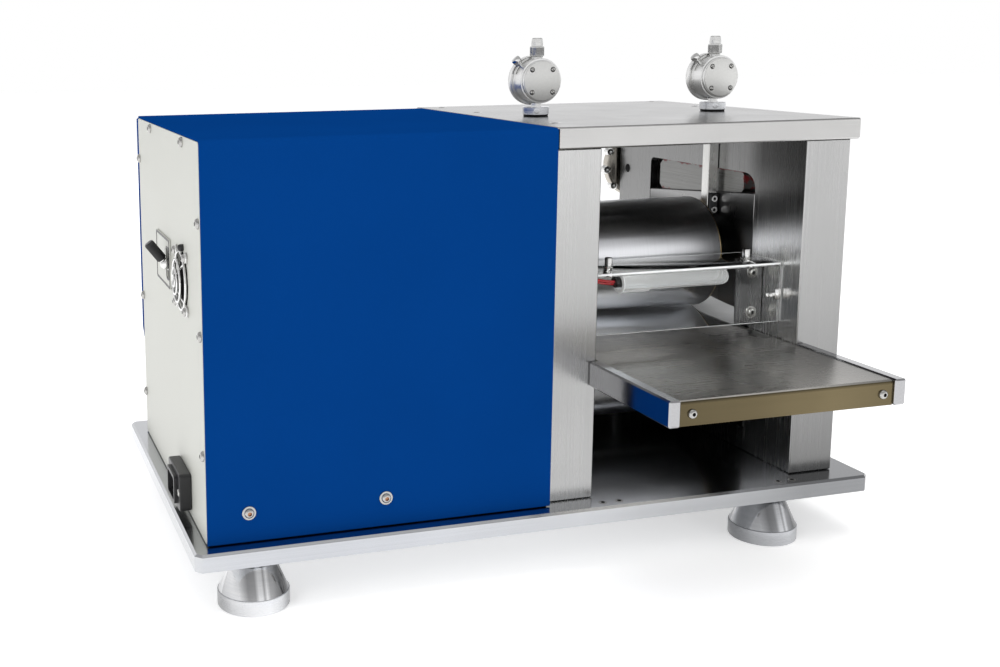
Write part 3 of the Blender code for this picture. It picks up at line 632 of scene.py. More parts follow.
rampz = wn.nodes.new("ShaderNodeValToRGB")
mr = wn.nodes.new("ShaderNodeMapRange")
mr.inputs["From Min"].default_value = -0.3
mr.inputs["From Max"].default_value = 1.0
wn.links.new(sep.outputs[2], mr.inputs["Value"])
wn.links.new(mr.outputs["Result"], rampz.inputs["Fac"])
el = rampz.color_ramp.elements
el[0].position, el[0].color = 0.0, (0.86, 0.87, 0.90, 1)
el[1].position, el[1].color = 1.0, (0.95, 0.95, 0.95, 1)
for pos, v in ((0.20, 0.92), (0.30, 1.16), (0.45, 1.12), (0.58, 0.68), (0.72, 0.50), (0.86, 0.60)):
    e = el.new(pos)
    e.color = (v, v, v * 1.01, 1)
wn.links.new(rampz.outputs["Color"], bg1.inputs["Color"])
bg1.inputs["Strength"].default_value = 0.92
wn.links.new(lp.outputs["Is Camera Ray"], mixn.inputs[0])
wn.links.new(bg1.outputs[0], mixn.inputs[1])
wn.links.new(bg2.outputs[0], mixn.inputs[2])
wn.links.new(mixn.outputs[0], out.inputs["Surface"])
bpy.context.scene.view_settings.view_transform = 'Standard'


def softbox(name, loc, target, sx, sy, power, color=(1, 1, 1)):
    li = bpy.data.lights.new(name, 'AREA')
    li.shape = 'RECTANGLE'
    li.size, li.size_y = sx, sy
    li.energy = power
    li.color = color
    ob = bpy.data.objects.new(name, li)
    bpy.context.scene.collection.objects.link(ob)
    ob.location = loc
    d = Vector(target) - Vector(loc)
    ob.rotation_euler = d.to_track_quat('-Z', 'Y').to_euler()
    ob.visible_glossy = False
    return ob


softbox("key_left", (-2.2, -1.9, 1.9), (0, 0, 0.2), 1.6, 1.6, 26)
softbox("top_soft", (0.3, -0.2, 2.6), (0, 0, 0.2), 2.2, 1.6, 22)
softbox("front_low", (0.9, -2.8, 0.7), (0, 0, 0.2), 1.4, 1.0, 8)
softbox("rear_fill", (-0.6, 2.8, 1.4), (0, 0, 0.2), 1.8, 1.4, 14)

# =============================================================== carried-over CAD nodes
set_mat("base_plate", M["plate_x"])
set_mat("top_plate", M["top_x"])
for s in ("left", "right"):
    set_mat(s + "_side_plate", M[s + "_plate"])
    set_mat("lower_block_" + s, M["block"])
    set_mat("upper_block_" + s, M["block"])
    lo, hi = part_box("wedge_" + s)
    M["wedge_" + s] = greased("greased_wedge_" + s, lo.z, hi.z, lo.y)
    set_mat("wedge_" + s, M["wedge_" + s])
    set_mat("gauge_bar_" + s, M["bar"])
    set_mat("lower_bearing_" + s, M["dark"])
    set_mat("upper_bearing_" + s, M["dark"])
    set_mat("guard_bracket_" + s, M["bracket"])
    set_mat("tray_rail_" + s, M["rail"])
    set_mat("dial_pointer_" + s, M["black"])
for n in ("lower_gear", "upper_gear", "drive_pinion", "gearmotor"):
    set_mat(n, M["dark"])
set_mat("motor_mount", M["block"])
set_mat("power_supply", M["alu"])
set_mat("housing_cover", M["blue"])
set_mat("control_console", M["blue"])
set_mat("housing_end_panel", M["grey"])
set_mat("selector_plate", M["grey"])
set_mat("fan_frame", M["black"])
set_mat("power_inlet", M["black"])
set_mat("rear_tray", M["polish"])
set_mat("rear_lower_panel", M["side_z"])

# =============================================================== feet
FLOOR_Z = OZ
# painted light on the feet: bright and dark bands across x on the rims and cones stand in for highlights and shade on
# the turned metal
RIM_PAINTED_LIGHT = ((-0.027, 0.38), (-0.020, 0.62), (-0.006, 0.78), (0.006, 0.86), (0.016, 0.74), (0.024, 0.40), (0.027, 0.25))
CONE_PAINTED_LIGHT = ((-0.026, 0.55), (-0.015, 0.85), (-0.009, 0.42), (-0.004, 0.48), (-0.0015, 1.0), (0.001, 0.95), (0.0025, 0.50), (0.0045, 0.95), (0.007, 0.45),
             (0.012, 0.26), (0.019, 0.10), (0.026, 0.40))
for nm, (fx, fy) in {"foot_front_left": (47, 24), "foot_front_right": (479, 24), "foot_rear_left": (47, 290), "foot_rear_right": (515, 290)}.items():
    bm = bmesh.new()
    lathe(bm, [(0, FLOOR_Z), (25.4, FLOOR_Z), (26.3, FLOOR_Z + 0.3), (26.7, FLOOR_Z + 1.0), (26.7, FLOOR_Z + 11.3), (26.5, FLOOR_Z + 11.8), (25.9, FLOOR_Z + 12.1),
               (16.9, -18.3), (16.3, -17.6), (15.6, -17.3), (13.9, -17.3), (13.9, -14.45), (0, -14.45)], (fx, fy, 0), Z, 128, mis=[0, 0, 0, 0, 0, 0, 1, 1, 1, 1, 1, 1])
    # the right feet are painted shaded copies of the left ones, at 0.68 of their brightness
    k = 1.0 if "left" in nm else 0.68
    cxr = (fx - OX) / 1000.0
    M["rim_" + nm] = metal("rim_" + nm, (0.92 * k, 0.935 * k, 0.97 * k), 0.28, (60, 60, 2200), 0.3, 0.00004, 0.05, 0.04, 0.05, painted_light=(0, at(cxr, RIM_PAINTED_LIGHT)))
    M["cone_" + nm] = metal("cone_" + nm, (0.93 * k, 0.945 * k, 0.97 * k), 0.12, (60, 60, 900), 0.2, 0.00004, 0.05, 0.03, 0.04, painted_light=(0, at(cxr, CONE_PAINTED_LIGHT)))
    done("fine_" + nm, bm, "frame", ["rim_" + nm, "cone_" + nm], [nm])

# =============================================================== rolls
def roll_piece(name, z, body, node):
    bm = bmesh.new()
    prof = [(0, 249.2), (14.6, 249.2), (15, 249.7), (15, 322.0), (21.7, 322.0), (22, 322.3), (22, 332.1), (46.6, 332.1), (47.5, 332.5), (48, 333.4),
            (48, 486.6), (47.5, 487.5), (46.6, 487.9), (22, 487.9), (22, 497.7), (21.7, 498.0), (15, 498.0), (15, 539.5), (14.6, 540), (0, 540)]
    prof = [(r, h) for r, h in prof]
    mis = [1, 1, 1, 1, 1, 1, 1, 1, 0, 0, 0, 0, 1, 1, 1, 1, 1, 1, 1]
    lathe(bm, prof, (0, 157.0, z), X, 256, mis=mis)
    done(name, bm, body, ["chrome", "turned_x"], [node])


M["turned_x"] = metal("turned_shoulder", (0.55, 0.55, 0.56), 0.2, (2000, 30, 30), 0.3, 0.00005, 0.06, 0.04, 0.05)
LOW_Z, UP_Z = 70.0, 166.3
roll_piece("lower_roll_body", LOW_Z, "lower_roll", "lower_roll")
roll_piece("upper_roll_body", UP_Z, "upper_roll", "upper_roll")
for nm, z, body in (("lower", LOW_Z, "lower_roll"), ("upper", UP_Z, "upper_roll")):
    bm = bmesh.new()
    for x0, s in ((487.75, 1), (332.25, -1)):
        a, b = sorted((x0, x0 + s * 0.9))
        lathe(bm, [(45.9, a), (47.2, a), (47.4, a + 0.2), (47.4, b - 0.2), (47.2, b), (45.9, b)], (0, 157.0, z), X, 192, ring=True)
    done(nm + "_roll_end_rings", bm, body, ["brass"])

# =============================================================== roll stand fittings
ROD_Z = 227.0
for s, x0 in (("left", 280.0), ("right", 500.0)):
    cx = x0 + 20
    bm = bmesh.new()
    # threaded rod, hub, rimmed wheel
    thread = [(5.0 - 0.28 * (i % 2), 209.2 + i * 0.5) for i in range(0, 150)]
    lathe(bm, [(0, 209.0)] + thread + [(5.0, 303.6), (12.0, 303.6), (12.0, 308.2), (26.0, 309.0), (30.2, 310.2), (31.4, 312.5), (31.4, 316.5), (30.2, 318.8), (26.0, 320.0),
                                       (13.4, 320.6), (12.6, 321.4), (12.2, 324.2), (11.4, 325.0), (4.0, 325.0), (4.0, 322.5), (0, 322.5)], (cx, 0, ROD_Z), Y, 96, 0)
    done("adjuster_wheel_" + s, bm, "adjuster_" + s, ["wheel"], ["adjuster_" + s])
    bm = bmesh.new()
    for k in range(10):
        a = 2 * math.pi * (k + 0.22) / 10
        c = Vector((cx + 29.6 * math.cos(a), 314.5, ROD_Z + 29.6 * math.sin(a)))
        lathe(bm, [(0, -6.4)] + [(5.0 * math.sin(t), -6.4 * math.cos(t)) for t in (math.pi * i / 16 for i in range(1, 16))] + [(0, 6.4)], c, Y, 32, 0)
    done("adjuster_grips_" + s, bm, "adjuster_" + s, ["bright"])

# socket screws in the top plate and the base
bm = bmesh.new()
for x, y in ((300, 59), (300, 207), (300, 288), (520, 288), (520, 207), (530, 298)):
    if (x, y) != (520, 288):
        screw(bm, (x, y, 291.5), Z, 5.2, 0.3, 2.6, 0.12, "flush")
done("top_plate_screws", bm, "frame", ["screw", "deep"])
bm = bmesh.new()
for x, y in ((323, 9.5), (337, 9.0), (481, 9.5), (494, 9.5)):
    screw(bm, (x, y, 0.0), Z, 3.2, 0.3, 1.6, 0.12, "flush")
done("base_screws", bm, "frame", ["screw", "deep"])
# tapped hole with its plug in the rear column
# the hole is a flat near-black disc: painted shade in place of its depth
bm = bmesh.new()
lathe(bm, [(0, 499.78), (4.1, 499.78), (4.3, 499.9), (4.3, 500.02), (0, 500.02)], (0, 287.5, 226.5), X, 40, 0)
lathe(bm, [(4.3, 499.72), (4.8, 499.8), (4.8, 500.02), (4.3, 500.02)], (0, 287.5, 226.5), X, 40, 1, ring=True)
done("column_hole_plug", bm, "frame", ["deep", "block"])

# gauge bar feet: dark end pieces with two screws, carried by the upper blocks
for s, xc, in (("right", 495.0), ("left", 325.0)):
    bm = bmesh.new()
    block(bm, xc - 4.5, xc + 4.5, 134.4, 136.85, 200.3, 219.6, 0.9, 3, 0)
    for zz in (205.0, 214.8):
        screw(bm, (xc, 134.4, zz), NY, 2.9, 1.5, 1.3, 1.0, "cap", 1, 2)
    done("gauge_bar_foot_" + s, bm, "upper_carriage", ["black", "bright", "deep"])

# =============================================================== drive housing
bm = bmesh.new()
for x, z in ((42.0, 22.6), (146.0, 22.4)):
    screw(bm, (x, 13.0, z), NY, 3.7, 2.0, 1.5, 1.2, "button", 0, 1, washer=5.2)
done("housing_front_screws", bm, "frame", ["screw", "copper"])
bm = bmesh.new()
for y, z in ((220.0, 285.0), (75.0, 285.0), (19.5, 233.0), (19.5, 153.0), (19.5, 66.0), (285.0, 254.0), (285.0, 130.0), (285.0, 40.0)):
    screw(bm, (11.0, y, z), NX, 3.9, 2.6, 1.5, 1.3, "button")
done("end_panel_screws", bm, "frame", ["screw", "deep"])

FAN_Y, FAN_Z = 86.0, 181.0
FX = 10.7
bm = bmesh.new()
for rr, dx in ((22.0, 1.5), (16.0, 4.3), (10.0, 5.6), (4.2, 6.2)):
    tube(bm, [(FX - dx, FAN_Y + rr * math.cos(a), FAN_Z + rr * math.sin(a)) for a in (2 * math.pi * i / 96 for i in range(96))], 0.95, 12, closed=True)
for k in range(4):
    a = math.radians(45 + 90 * k)
    pts = [(FX - dx, FAN_Y + r * math.cos(a), FAN_Z + r * math.sin(a)) for r, dx in ((2.2, 5.0), (5.0, 4.9), (10.0, 4.2), (16.0, 2.9), (22.0, 0.75), (25.4, 0.95))]
    tube(bm, catmull(pts, 5), 0.85, 12)
    cy, cz = FAN_Y + 28.28 * math.cos(a), FAN_Z + 28.28 * math.sin(a)
    tube(bm, [(FX - 1.0, cy + 3.1 * math.cos(t), cz + 3.1 * math.sin(t)) for t in (2 * math.pi * i / 40 for i in range(40))], 0.85, 12, closed=True)
done("fan_guard_wires", bm, "frame", ["bright"], ["fan_guard"])
bm = bmesh.new()
for k in range(4):
    a = math.radians(45 + 90 * k)
    cy, cz = FAN_Y + 28.28 * math.cos(a), FAN_Z + 28.28 * math.sin(a)
    lathe(bm, [(0, 0.0), (4.2, 0.0), (4.4, 0.2), (4.4, 0.5), (4.1, 0.8), (0, 0.8)], (11.0, cy, cz), NX, 40, 0)
    screw(bm, (9.2, cy, cz), NX, 3.3, 2.6, 1.3, 1.3, "button")
done("fan_guard_screws", bm, "frame", ["screw", "deep"])

bm = bmesh.new()
lathe(bm, [(0, 16.2), (8.6, 16.2), (9.4, 17.0), (9.4, 24.6), (0, 24.6)], (0, FAN_Y, FAN_Z), X, 64, 0)
for k in range(7):
    base = 2 * math.pi * k / 7
    nr, nc = 6, 7
    grid = [[], []]
    for side in (0, 1):
        for i in range(nr + 1):
            r = 9.0 + (21.2 - 9.0) * i / nr
            row = []
            for j in range(nc + 1):
                u = j / nc - 0.5
                chord = math.radians(34.0)
                a = base + chord * u + 0.10 * (r - 9.0) / 12.0
                x = 20.5 + u * 7.2 + 1.1 * math.cos(math.pi * u) + (0.45 if side else -0.45)
                row.append(bm.verts.new((x, FAN_Y + r * math.cos(a), FAN_Z + r * math.sin(a))))
            grid[side].append(row)
    for side in (0, 1):
        for i in range(nr):
            for j in range(nc):
                g = grid[side]
                bm.faces.new((g[i][j], g[i][j + 1], g[i + 1][j + 1], g[i + 1][j]))
    rim = lambda g: [g[0][j] for j in range(nc + 1)] + [g[i][nc] for i in range(1, nr + 1)] + [g[nr][j] for j in range(nc - 1, -1, -1)] + [g[i][0] for i in range(nr - 1, 0, -1)]
    ra, rb = rim(grid[0]), rim(grid[1])
    for i in range(len(ra)):
        j = (i + 1) % len(ra)
        bm.faces.new((ra[i], ra[j], rb[j], rb[i]))
done("fan_rotor_blades", bm, "fan_rotor", ["black"], ["fan_rotor"])

# small rounded black cap beside the guard
bm = bmesh.new()
lathe(bm, [(0, 0), (2.5, 0), (2.7, 0.3), (2.7, 2.4), (2.3, 3.6), (1.4, 4.3), (0, 4.5)], (11.0, 79.5, 206.8), NX, 48, 0)
done("fan_lead_cap", bm, "frame", ["black"])

# mains inlet: pins, rim and screws
INL_Y, INL_Z = 92.0, 21.0
bm = bmesh.new()
for y, z, w, h in ((-6.5, -1.5, 1.0, 2.2), (6.5, -1.5, 1.0, 2.2), (0.0, 2.6, 1.0, 2.2)):
    block(bm, 4.2, 17.2, INL_Y + y - w, INL_Y + y + w, INL_Z + z - h, INL_Z + z + h, 0.4, 2, 0)
done("inlet_pins", bm, "frame", ["bright"])
bm = bmesh.new()
outline_ring(bm, rounded(INL_Y - 15.2, INL_Y + 15.2, INL_Z - 11.2, INL_Z + 11.2, 3.0), rounded(INL_Y - 12.6, INL_Y + 12.6, INL_Z - 8.6, INL_Z + 8.6, 2.0), 'X', -1.2, 1.6, 0)
done("inlet_collar", bm, "frame", ["black"])
bm = bmesh.new()
for y in (-20.0, 20.0):
    screw(bm, (1.5, INL_Y + y, INL_Z), NX, 3.0, 1.0, 1.2, 0.7, "button")
done("inlet_screws", bm, "frame", ["screw", "deep"])

# selector: black lines round its plate and round the lever slot are painted shadow; chrome ball, knurled grip
SEL_Y, SEL_Z = 143.0, 184.0
bm = bmesh.new()
outline_ring(bm, rounded(SEL_Y - 8.6, SEL_Y + 52.6, SEL_Z - 19.6, SEL_Z + 19.6, 1.8), rounded(SEL_Y - 6.6, SEL_Y + 50.6, SEL_Z - 17.9, SEL_Z + 17.9, 1.2), 'X', 9.45, 9.75, 0)
outline_ring(bm, rounded(SEL_Y - 6.2, SEL_Y + 6.2, SEL_Z - 13.4, SEL_Z + 13.4, 3.2), rounded(SEL_Y - 4.95, SEL_Y + 4.95, SEL_Z - 12.05, SEL_Z + 12.05, 2.5), 'X', 9.35, 9.75, 0)
done("selector_painted_shadow_lines", bm, "frame", ["black"])
PIV = Vector((8.2, SEL_Y, SEL_Z))
TILT = math.radians(52.0)
D = (-math.cos(TILT), 0, math.sin(TILT))
bm = bmesh.new()
ball = [(4.6 * math.sin(t), -4.6 * math.cos(t)) for t in (math.pi * i / 24 for i in range(5, 20))]
lathe(bm, [(0, -9.0), (1.6, -9.0), (2.1, -8.4), (2.1, -4.2)] + ball + [(2.6, 4.9), (0, 4.9)], PIV, D, 64, 0)
done("selector_ball", bm, "selector_lever", ["bright"])


def knurl(count, depth, h0, h1):
    def f(a, r, h, k):
        if h0 <= h <= h1:
            return r - depth * (0.5 + 0.5 * math.cos(count * a + (math.pi if (k % 2) else 0)))
        return r
    return f


bm = bmesh.new()
rows = [(0, 4.4), (3.2, 4.4), (3.8, 4.9)] + [(4.15, 5.6 + 0.55 * i) for i in range(27)] + [(3.8, 21.2), (3.2, 21.9), (0, 22.0)]
lathe(bm, rows, PIV, D, 120, 0, radial=knurl(18, 0.42, 5.5, 20.2))
done("selector_grip", bm, "selector_lever", ["black"], ["selector_lever"])

# =============================================================== feed tray
TZ = 109.5
bm = bmesh.new()


def bent_sheet(bm, y_in, y_out, lip, x0, x1, t=2.0, R=3.2, mi_top=0, mi_lip=1):
    s = -1 if y_out < y_in else 1
    outer, inner = [(y_in, TZ)], [(y_in, TZ - t)]
    cy, cz = y_out - s * R, TZ - R
    n = 8
    for i in range(n + 1):
        a = math.radians(90 * i / n)
        outer.append((cy + s * R * math.sin(a), cz + R * math.cos(a)))
        inner.append((cy + s * (R - t) * math.sin(a), cz + (R - t) * math.cos(a)))
    outer.append((y_out, TZ - lip))
    inner.append((y_out - s * t, TZ - lip))
    L = [[bm.verts.new((x, y, z)) for y, z in prof] for x in (x0, x1) for prof in (outer, inner)]
    o0, i0, o1, i1 = L
    m = len(outer)
    for k in range(m - 1):
        mi = mi_top if k <= n // 2 else mi_lip
        for q in ((o0[k], o0[k + 1], o1[k + 1], o1[k]), (i0[k], i1[k], i1[k + 1], i0[k + 1]), (o0[k], i0[k], i0[k + 1], o0[k + 1]), (o1[k], o1[k + 1], i1[k + 1], i1[k])):
            bm.faces.new(q).material_index = mi
    bm.faces.new((o0[0], o1[0], i1[0], i0[0]))
    bm.faces.new((o0[-1], i0[-1], i1[-1], o1[-1])).material_index = mi_lip


bent_sheet(bm, 121.0, -88.0, 18.5, 323.8, 498.7)
done("feed_tray_sheet", bm, "frame", ["polish", "lip"], ["front_tray"])
bm = bmesh.new()
for x in (333.6, 490.2):
    screw(bm, (x, -88.0, 99.6), NY, 3.5, 2.6, 1.3, 1.3, "button")
done("feed_tray_screws", bm, "frame", ["screw", "deep"])

# =============================================================== clear guard
GY0, GZ0, GZ1 = 44.0, 124.0, 173.5
bm = bmesh.new()
block(bm, 321.2, 498.4, 44.0, 47.0, 124.2, 170.3, 0.25, 2, 0)
block(bm, 321.2, 498.4, 44.0, 96.0, 170.6, 173.4, 0.25, 2, 0)
done("guard_sheets", bm, "frame", ["acrylic"], ["guard_shield"], sharp=25)
bm = bmesh.new()
# polished sawn edges with a painted glow: pale colour and emission stand in for the light they gather, so they read as
# bright lines
block(bm, 321.0, 498.6, 43.75, 44.05, 171.6, 173.1, 0.1, 1)
block(bm, 321.0, 498.6, 44.2, 46.8, 123.85, 124.15, 0.1, 1)
block(bm, 321.0, 498.6, 95.95, 96.25, 170.8, 173.2, 0.1, 1)
block(bm, 498.45, 498.75, 44.2, 46.8, 124.2, 170.2, 0.1, 1)
block(bm, 498.45, 498.75, 44.2, 95.8, 170.8, 173.2, 0.1, 1)
done("guard_edges_painted_glow", bm, "frame", ["edge"])
# standoffs through the top sheet
bm = bmesh.new()
for x in (481.5, 354.0):
    lathe(bm, [(0, 165.0), (3.0, 165.0), (3.2, 165.3), (3.2, 170.4), (3.2, 173.5), (4.4, 173.5), (4.6, 173.8), (4.6, 175.0), (3.1, 175.2), (3.1, 181.2), (2.7, 181.8), (0, 181.8)], (x, 66.0, 0), Z, 48, 0)
done("guard_standoffs", bm, "frame", ["bright"])
bm = bmesh.new()
for x, z in ((489.5, 159.0), (489.5, 128.0), (349.5 - 18.5, 159.0), (349.5 - 18.5, 130.0)):
    screw(bm, (x, 72.0, z), NY, 3.6, 2.4, 1.5, 1.3, "button", 0, 1, washer=4.9)
done("guard_bracket_screws", bm, "frame", ["screw", "deep"])
# small clamp that holds the guard's right end
bm = bmesh.new()
lathe(bm, [(0, -4.2), (2.4, -4.2), (2.6, -3.9), (2.6, 3.9), (2.4, 4.2), (0, 4.2)], (495.2, 42.9, 147.4), Z, 32, 0)
block(bm, 484.6, 495.2, 41.6, 43.9, 145.4, 149.0, 0.8, 3, 0)
block(bm, 493.8, 498.9, 41.9, 43.9, 143.6, 152.0, 0.7, 3, 0)
lathe(bm, [(0, 0), (1.5, 0), (1.6, 0.3), (1.6, 1.4), (1.2, 1.8), (0, 1.8)], (488.0, 41.6, 147.2), NY, 24, 0)
done("guard_clamp", bm, "frame", ["bright"])

# clear lamp tube, collar and two red leads
bm = bmesh.new()
LY, LZ = 58.0, 161.5
lathe(bm, [(6.2, 360.0), (7.6, 360.0), (8.0, 360.4), (8.0, 383.6), (7.7, 384.2), (6.6, 384.8), (6.6, 450.5), (6.2, 453.4), (5.0, 455.8), (3.0, 456.9), (0, 457.0),
           (0, 455.8), (2.6, 455.6), (4.2, 454.6), (5.1, 452.6), (5.5, 450.2), (5.5, 384.0), (5.5, 361.0), (5.6, 360.0)], (0, LY, LZ), X, 72, 0, ring=True)
done("lamp_tube_glass", bm, "frame", ["frosted"], ["lamp_tube"])
bm = bmesh.new()
# bright rim at the tube's end: the same painted glow as the guard's edges
lathe(bm, [(5.4, 359.4), (7.8, 359.4), (8.1, 359.7), (8.1, 360.4), (5.4, 360.4)], (0, LY, LZ), X, 72, 0, ring=True)
done("lamp_tube_rim", bm, "frame", ["edge"])
bm = bmesh.new()
lathe(bm, [(0, 355.6), (3.6, 355.6), (4.2, 356.2), (4.2, 361.6), (3.6, 362.2), (0, 362.2)], (0, LY, LZ + 0.6), X, 40, 0)
done("lamp_lead_collar", bm, "frame", ["black"])
bm = bmesh.new()
LEAD = [(320.8, 64.5, 162.6), (328.0, 64.0, 163.4), (336.0, 62.4, 163.5), (344.0, 60.6, 162.8), (350.0, 59.3, 162.0), (356.6, 58.4, 161.4)]
for dy, dz in ((-0.9, 0.95), (0.6, -0.95)):
    tube(bm, catmull([(x, y + dy, z + dz) for x, y, z in LEAD], 8), 1.15, 14, 0)
done("lamp_lead_pair", bm, "frame", ["wire"], ["lamp_lead"])

# =============================================================== dial gauges
DY, DZ = 142.0, 321.0
for s, dx in (("left", 325.0), ("right", 494.6)):
    bm = bmesh.new()
    # case with two turned grooves, open at the dial side
    lathe(bm, [(0, -10.4), (16.9, -10.4), (17.2, -10.2), (17.2, -9.2), (17.0, -9.0), (17.0, -8.4), (18.3, -8.2), (18.6, -7.9), (18.6, -6.4), (18.2, -6.1), (18.2, 4.0), (18.6, 4.3), (18.6, 6.0),
               (18.2, 6.3), (18.2, 7.0), (0, 7.0)], (dx, DY, DZ), Y, 128, 0)
    # stem
    lathe(bm, [(0, 273.6), (1.7, 273.6), (2.0, 274.0), (2.0, 276.6), (3.7, 276.6), (4.0, 276.9), (4.0, 302.4), (5.2, 303.4), (6.8, 304.4), (6.8, 305.2), (0, 305.2)], (dx, DY, 0), Z, 48, 0)
    done("gauge_case_" + s, bm, "frame", ["alu"], ["dial_body_" + s])
    bm = bmesh.new()
    lathe(bm, [(0, -11.3), (15.9, -11.3), (16.3, -11.1), (16.5, -10.7), (16.5, -10.3), (0, -10.3)], (dx, DY, DZ), Y, 128, 0)
    done("gauge_back_cover_" + s, bm, "frame", ["cover"])
    bm = bmesh.new()
    for k in range(4):
        a = math.radians(45 + 90 * k)
        px, pz = dx + 13.2 * math.cos(a), DZ + 13.2 * math.sin(a)
        lathe(bm, [(0, 0), (1.55, 0), (1.7, 0.12), (1.7, 0.3), (1.35, 0.62), (0.7, 0.75), (0, 0.78)], (px, DY - 11.3, pz), NY, 24, 0)
        # screw slots and a thin ring round each head take material 1, near black: painted shade
        block(bm, px - 1.3, px + 1.3, DY - 12.12, DY - 11.9, pz - 0.22, pz + 0.22, 0.0, 1, 1,
              xf=Matrix.Translation((px, 0, pz)) @ Matrix.Rotation(a + 0.5 * k, 4, 'Y') @ Matrix.Translation((-px, 0, -pz)))
        lathe(bm, [(1.72, 0.0), (2.2, 0.0), (2.2, 0.06), (1.72, 0.06)], (px, DY - 11.3, pz), NY, 24, 1, ring=True)
    done("gauge_cover_screws_" + s, bm, "frame", ["screw", "deep"])
    # rotating bezel with fine knurl, face, ticks, numbers' place marks, glass
    bm = bmesh.new()
    lathe(bm, [(18.4, 6.4), (20.1, 6.4), (20.6, 6.9), (20.6, 11.2), (20.2, 11.7), (18.9, 12.4), (18.3, 12.4), (18.3, 8.6)], (dx, DY, DZ), Y, 240, 0, ring=True,
          radial=lambda a, r, h, k: r - (0.22 * (0.5 + 0.5 * math.cos(80 * a)) if r > 20.4 else 0))
    done("gauge_bezel_" + s, bm, "frame", ["alu"])
    bm = bmesh.new()
    lathe(bm, [(0, 7.05), (18.25, 7.05), (18.25, 8.5), (0, 8.5)], (dx, DY, DZ), Y, 96, 0)
    for k in range(50):
        a = 2 * math.pi * k / 50
        L = 3.2 if k % 5 == 0 else 1.9
        w = 0.28 if k % 5 == 0 else 0.16
        block(bm, dx - w, dx + w, DY + 8.5, DY + 8.62, DZ + 17.4 - L, DZ + 17.4, 0.0, 1, 1,
              xf=Matrix.Translation((dx, 0, DZ)) @ Matrix.Rotation(a, 4, 'Y') @ Matrix.Translation((-dx, 0, -DZ)))
    lathe(bm, [(3.6, 8.5), (4.0, 8.5), (4.0, 8.6), (3.6, 8.6)], (dx, DY, DZ), Y, 48, 1, ring=True)
    done("gauge_face_" + s, bm, "frame", ["white", "black"])
    bm = bmesh.new()
    lathe(bm, [(0, 10.6), (18.25, 10.6), (18.25, 11.5), (17.8, 11.7), (0, 11.9)], (dx, DY, DZ), Y, 96, 0)
    done("gauge_glass_" + s, bm, "frame", ["glass"])
    bm = bmesh.new()
    lathe(bm, [(0, 17.0), (4.6, 17.0), (4.6, 19.4), (5.2, 20.2), (5.9, 20.6)] + [(5.95, 21.0 + 0.5 * i) for i in range(14)] + [(5.7, 28.2), (4.8, 28.5), (4.7, 29.1), (4.9, 30.0), (4.4, 34.5), (3.8, 35.2), (2.4, 35.35), (0, 35.4)],
          (dx, DY, DZ), Z, 120, 0, radial=knurl(30, 0.42, 20.9, 27.6))
    done("gauge_cap_" + s, bm, "frame", ["knurl"])
    # bezel clamp at the upper left
    ca = math.radians(135)
    dirn = Vector((math.cos(ca), 0, math.sin(ca)))
    c0 = Vector((dx, DY + 3.4, DZ)) + dirn * 18.0
    bm = bmesh.new()
    lathe(bm, [(0, 0), (2.2, 0), (2.2, 3.2), (3.6, 3.8), (3.9, 4.3), (3.9, 7.2), (3.5, 7.9), (2.6, 8.2), (0, 8.2)], c0, dirn, 60, 0)
    tube(bm, [(dx + 19.1 * math.cos(t), DY + 3.4, DZ + 19.1 * math.sin(t)) for t in (math.radians(108 + 3 * i) for i in range(19))], 1.0, 12, 0)
    done("gauge_clamp_" + s, bm, "frame", ["bright"])
    # split collar with set screw and a dark O-ring below
    bm = bmesh.new()
    lathe(bm, [(4.3, 292.9), (10.6, 292.9), (11.0, 293.3), (11.0, 298.9), (10.6, 299.4), (7.0, 299.5), (4.3, 299.5)], (dx, DY, 0), Z, 96, 0, ring=True)
    lathe(bm, [(4.3, 291.6), (9.9, 291.6), (10.1, 291.8), (10.1, 292.9), (4.3, 292.9)], (dx, DY, 0), Z, 96, 1, ring=True)
    b = math.radians(-112)
    sd = Vector((math.cos(b), math.sin(b), 0))
    screw(bm, Vector((dx, DY, 296.3)) + sd * 10.75, sd, 2.2, 0.45, 1.1, 0.4, "cap", 0, 2, n=24)
    done("gauge_collar_" + s, bm, "frame", ["turned", "deep", "deep"], ["dial_collar_" + s])

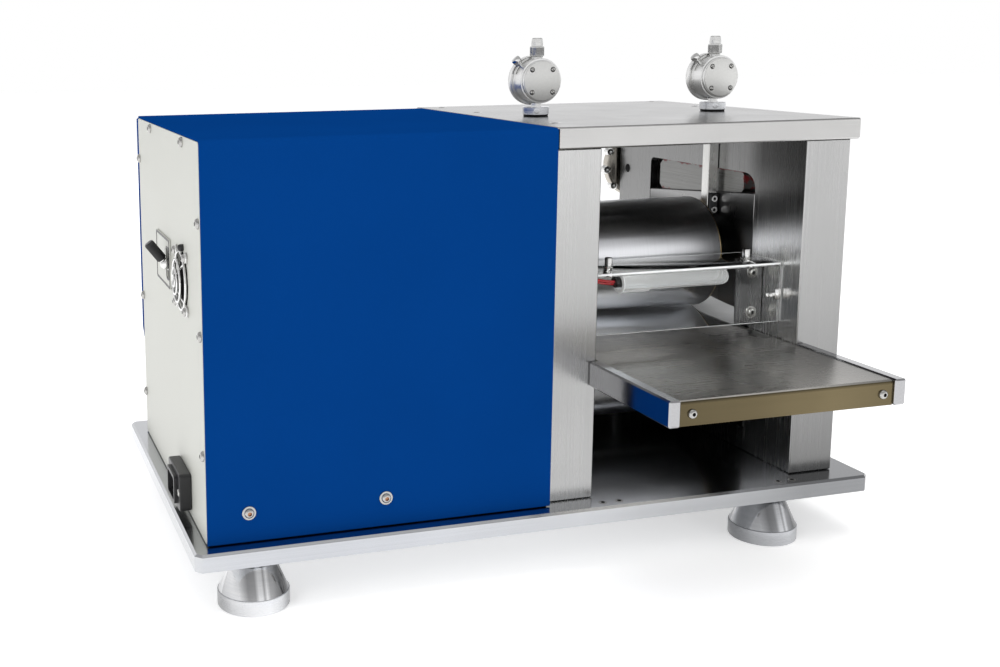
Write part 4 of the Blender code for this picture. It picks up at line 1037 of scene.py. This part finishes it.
# =============================================================== rear controls
RY = 303.3
bm = bmesh.new()
lathe(bm, [(0, -1.8), (8.8, -1.8), (9, -1.6), (9, 8.6), (11.5, 9.2), (16.6, 10.8), (18.4, 12.6), (19, 15), (18.6, 17.4), (16.8, 19.6), (12.6, 21.4), (7.0, 22.3), (0, 22.5)], (235, RY, 240), Y, 96, 0)
for k in range(2):
    a0 = math.pi * k
    tube(bm, [(235 + 10.5 * math.cos(t), RY + 21.5 - 0.0, 240 + 10.5 * math.sin(t)) for t in (a0 + math.radians(20 + 7 * i) for i in range(17))], 0.55, 8, 1)
done("estop_head", bm, "estop_button", ["red", "white"], ["estop_button"])
for nm, x, mt in (("start", 110, "green"), ("stop", 150, "red")):
    bm = bmesh.new()
    lathe(bm, [(0, -1.8), (8.8, -1.8), (9, -1.6), (9, 4.9), (8.6, 5.7), (7.6, 6.0), (4.0, 5.7), (0, 5.6)], (x, RY, 205), Y, 80, 0)
    done(nm + "_button_cap", bm, nm + "_button", [mt], [nm + "_button"])
bm = bmesh.new()
for x, z in ((110, 205), (150, 205)):
    lathe(bm, [(9.7, 303.0), (12.4, 303.0), (12.9, 303.4), (12.9, 305.2), (12.3, 305.9), (10.2, 306.0), (9.7, 305.6)], (x, 0, z), Y, 80, 0, ring=True)
lathe(bm, [(9.7, 303.0), (15.6, 303.0), (16.2, 303.4), (16.2, 304.8), (15.4, 305.4), (9.7, 305.4)], (235, 0, 240), Y, 80, 0, ring=True)
done("button_rims", bm, "frame", ["bright"])
bm = bmesh.new()
lathe(bm, [(0, 0.0), (11.0, 0.0), (11.2, 0.3), (11.2, 2.4), (10.2, 3.4), (9.4, 4.2), (8.6, 14.6), (8.0, 15.5), (0, 16.0)], (130, RY, 150), Y, 144, 0,
      radial=lambda a, r, h, k: r - (0.5 * (0.5 + 0.5 * math.cos(24 * a)) if 4.0 < h < 15.0 and r > 8 else 0))
block(bm, 129.6, 130.4, RY + 15.6, RY + 16.3, 152.0, 157.5, 0.15, 1, 1)
done("speed_knob_body", bm, "speed_knob", ["black", "white"], ["speed_knob"])
bm = bmesh.new()
for k in range(11):
    a = math.radians(225 - 27 * k)
    block(bm, 130 + 14.0, 130 + 17.0, 303.0, 303.18, 149.7, 150.3, 0.0, 1, 0,
          xf=Matrix.Translation((130, 0, 150)) @ Matrix.Rotation(-a, 4, 'Y') @ Matrix.Translation((-130, 0, -150)))
done("speed_scale", bm, "frame", ["white"])
bm = bmesh.new()
for x, z in ((20, 106), (20, 280), (254, 106), (254, 280)):
    screw(bm, (x, 303.0, z), Y, 3.6, 2.2, 1.4, 1.2, "button")
done("console_screws", bm, "frame", ["screw", "deep"])

# =============================================================== sizes
lo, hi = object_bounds()
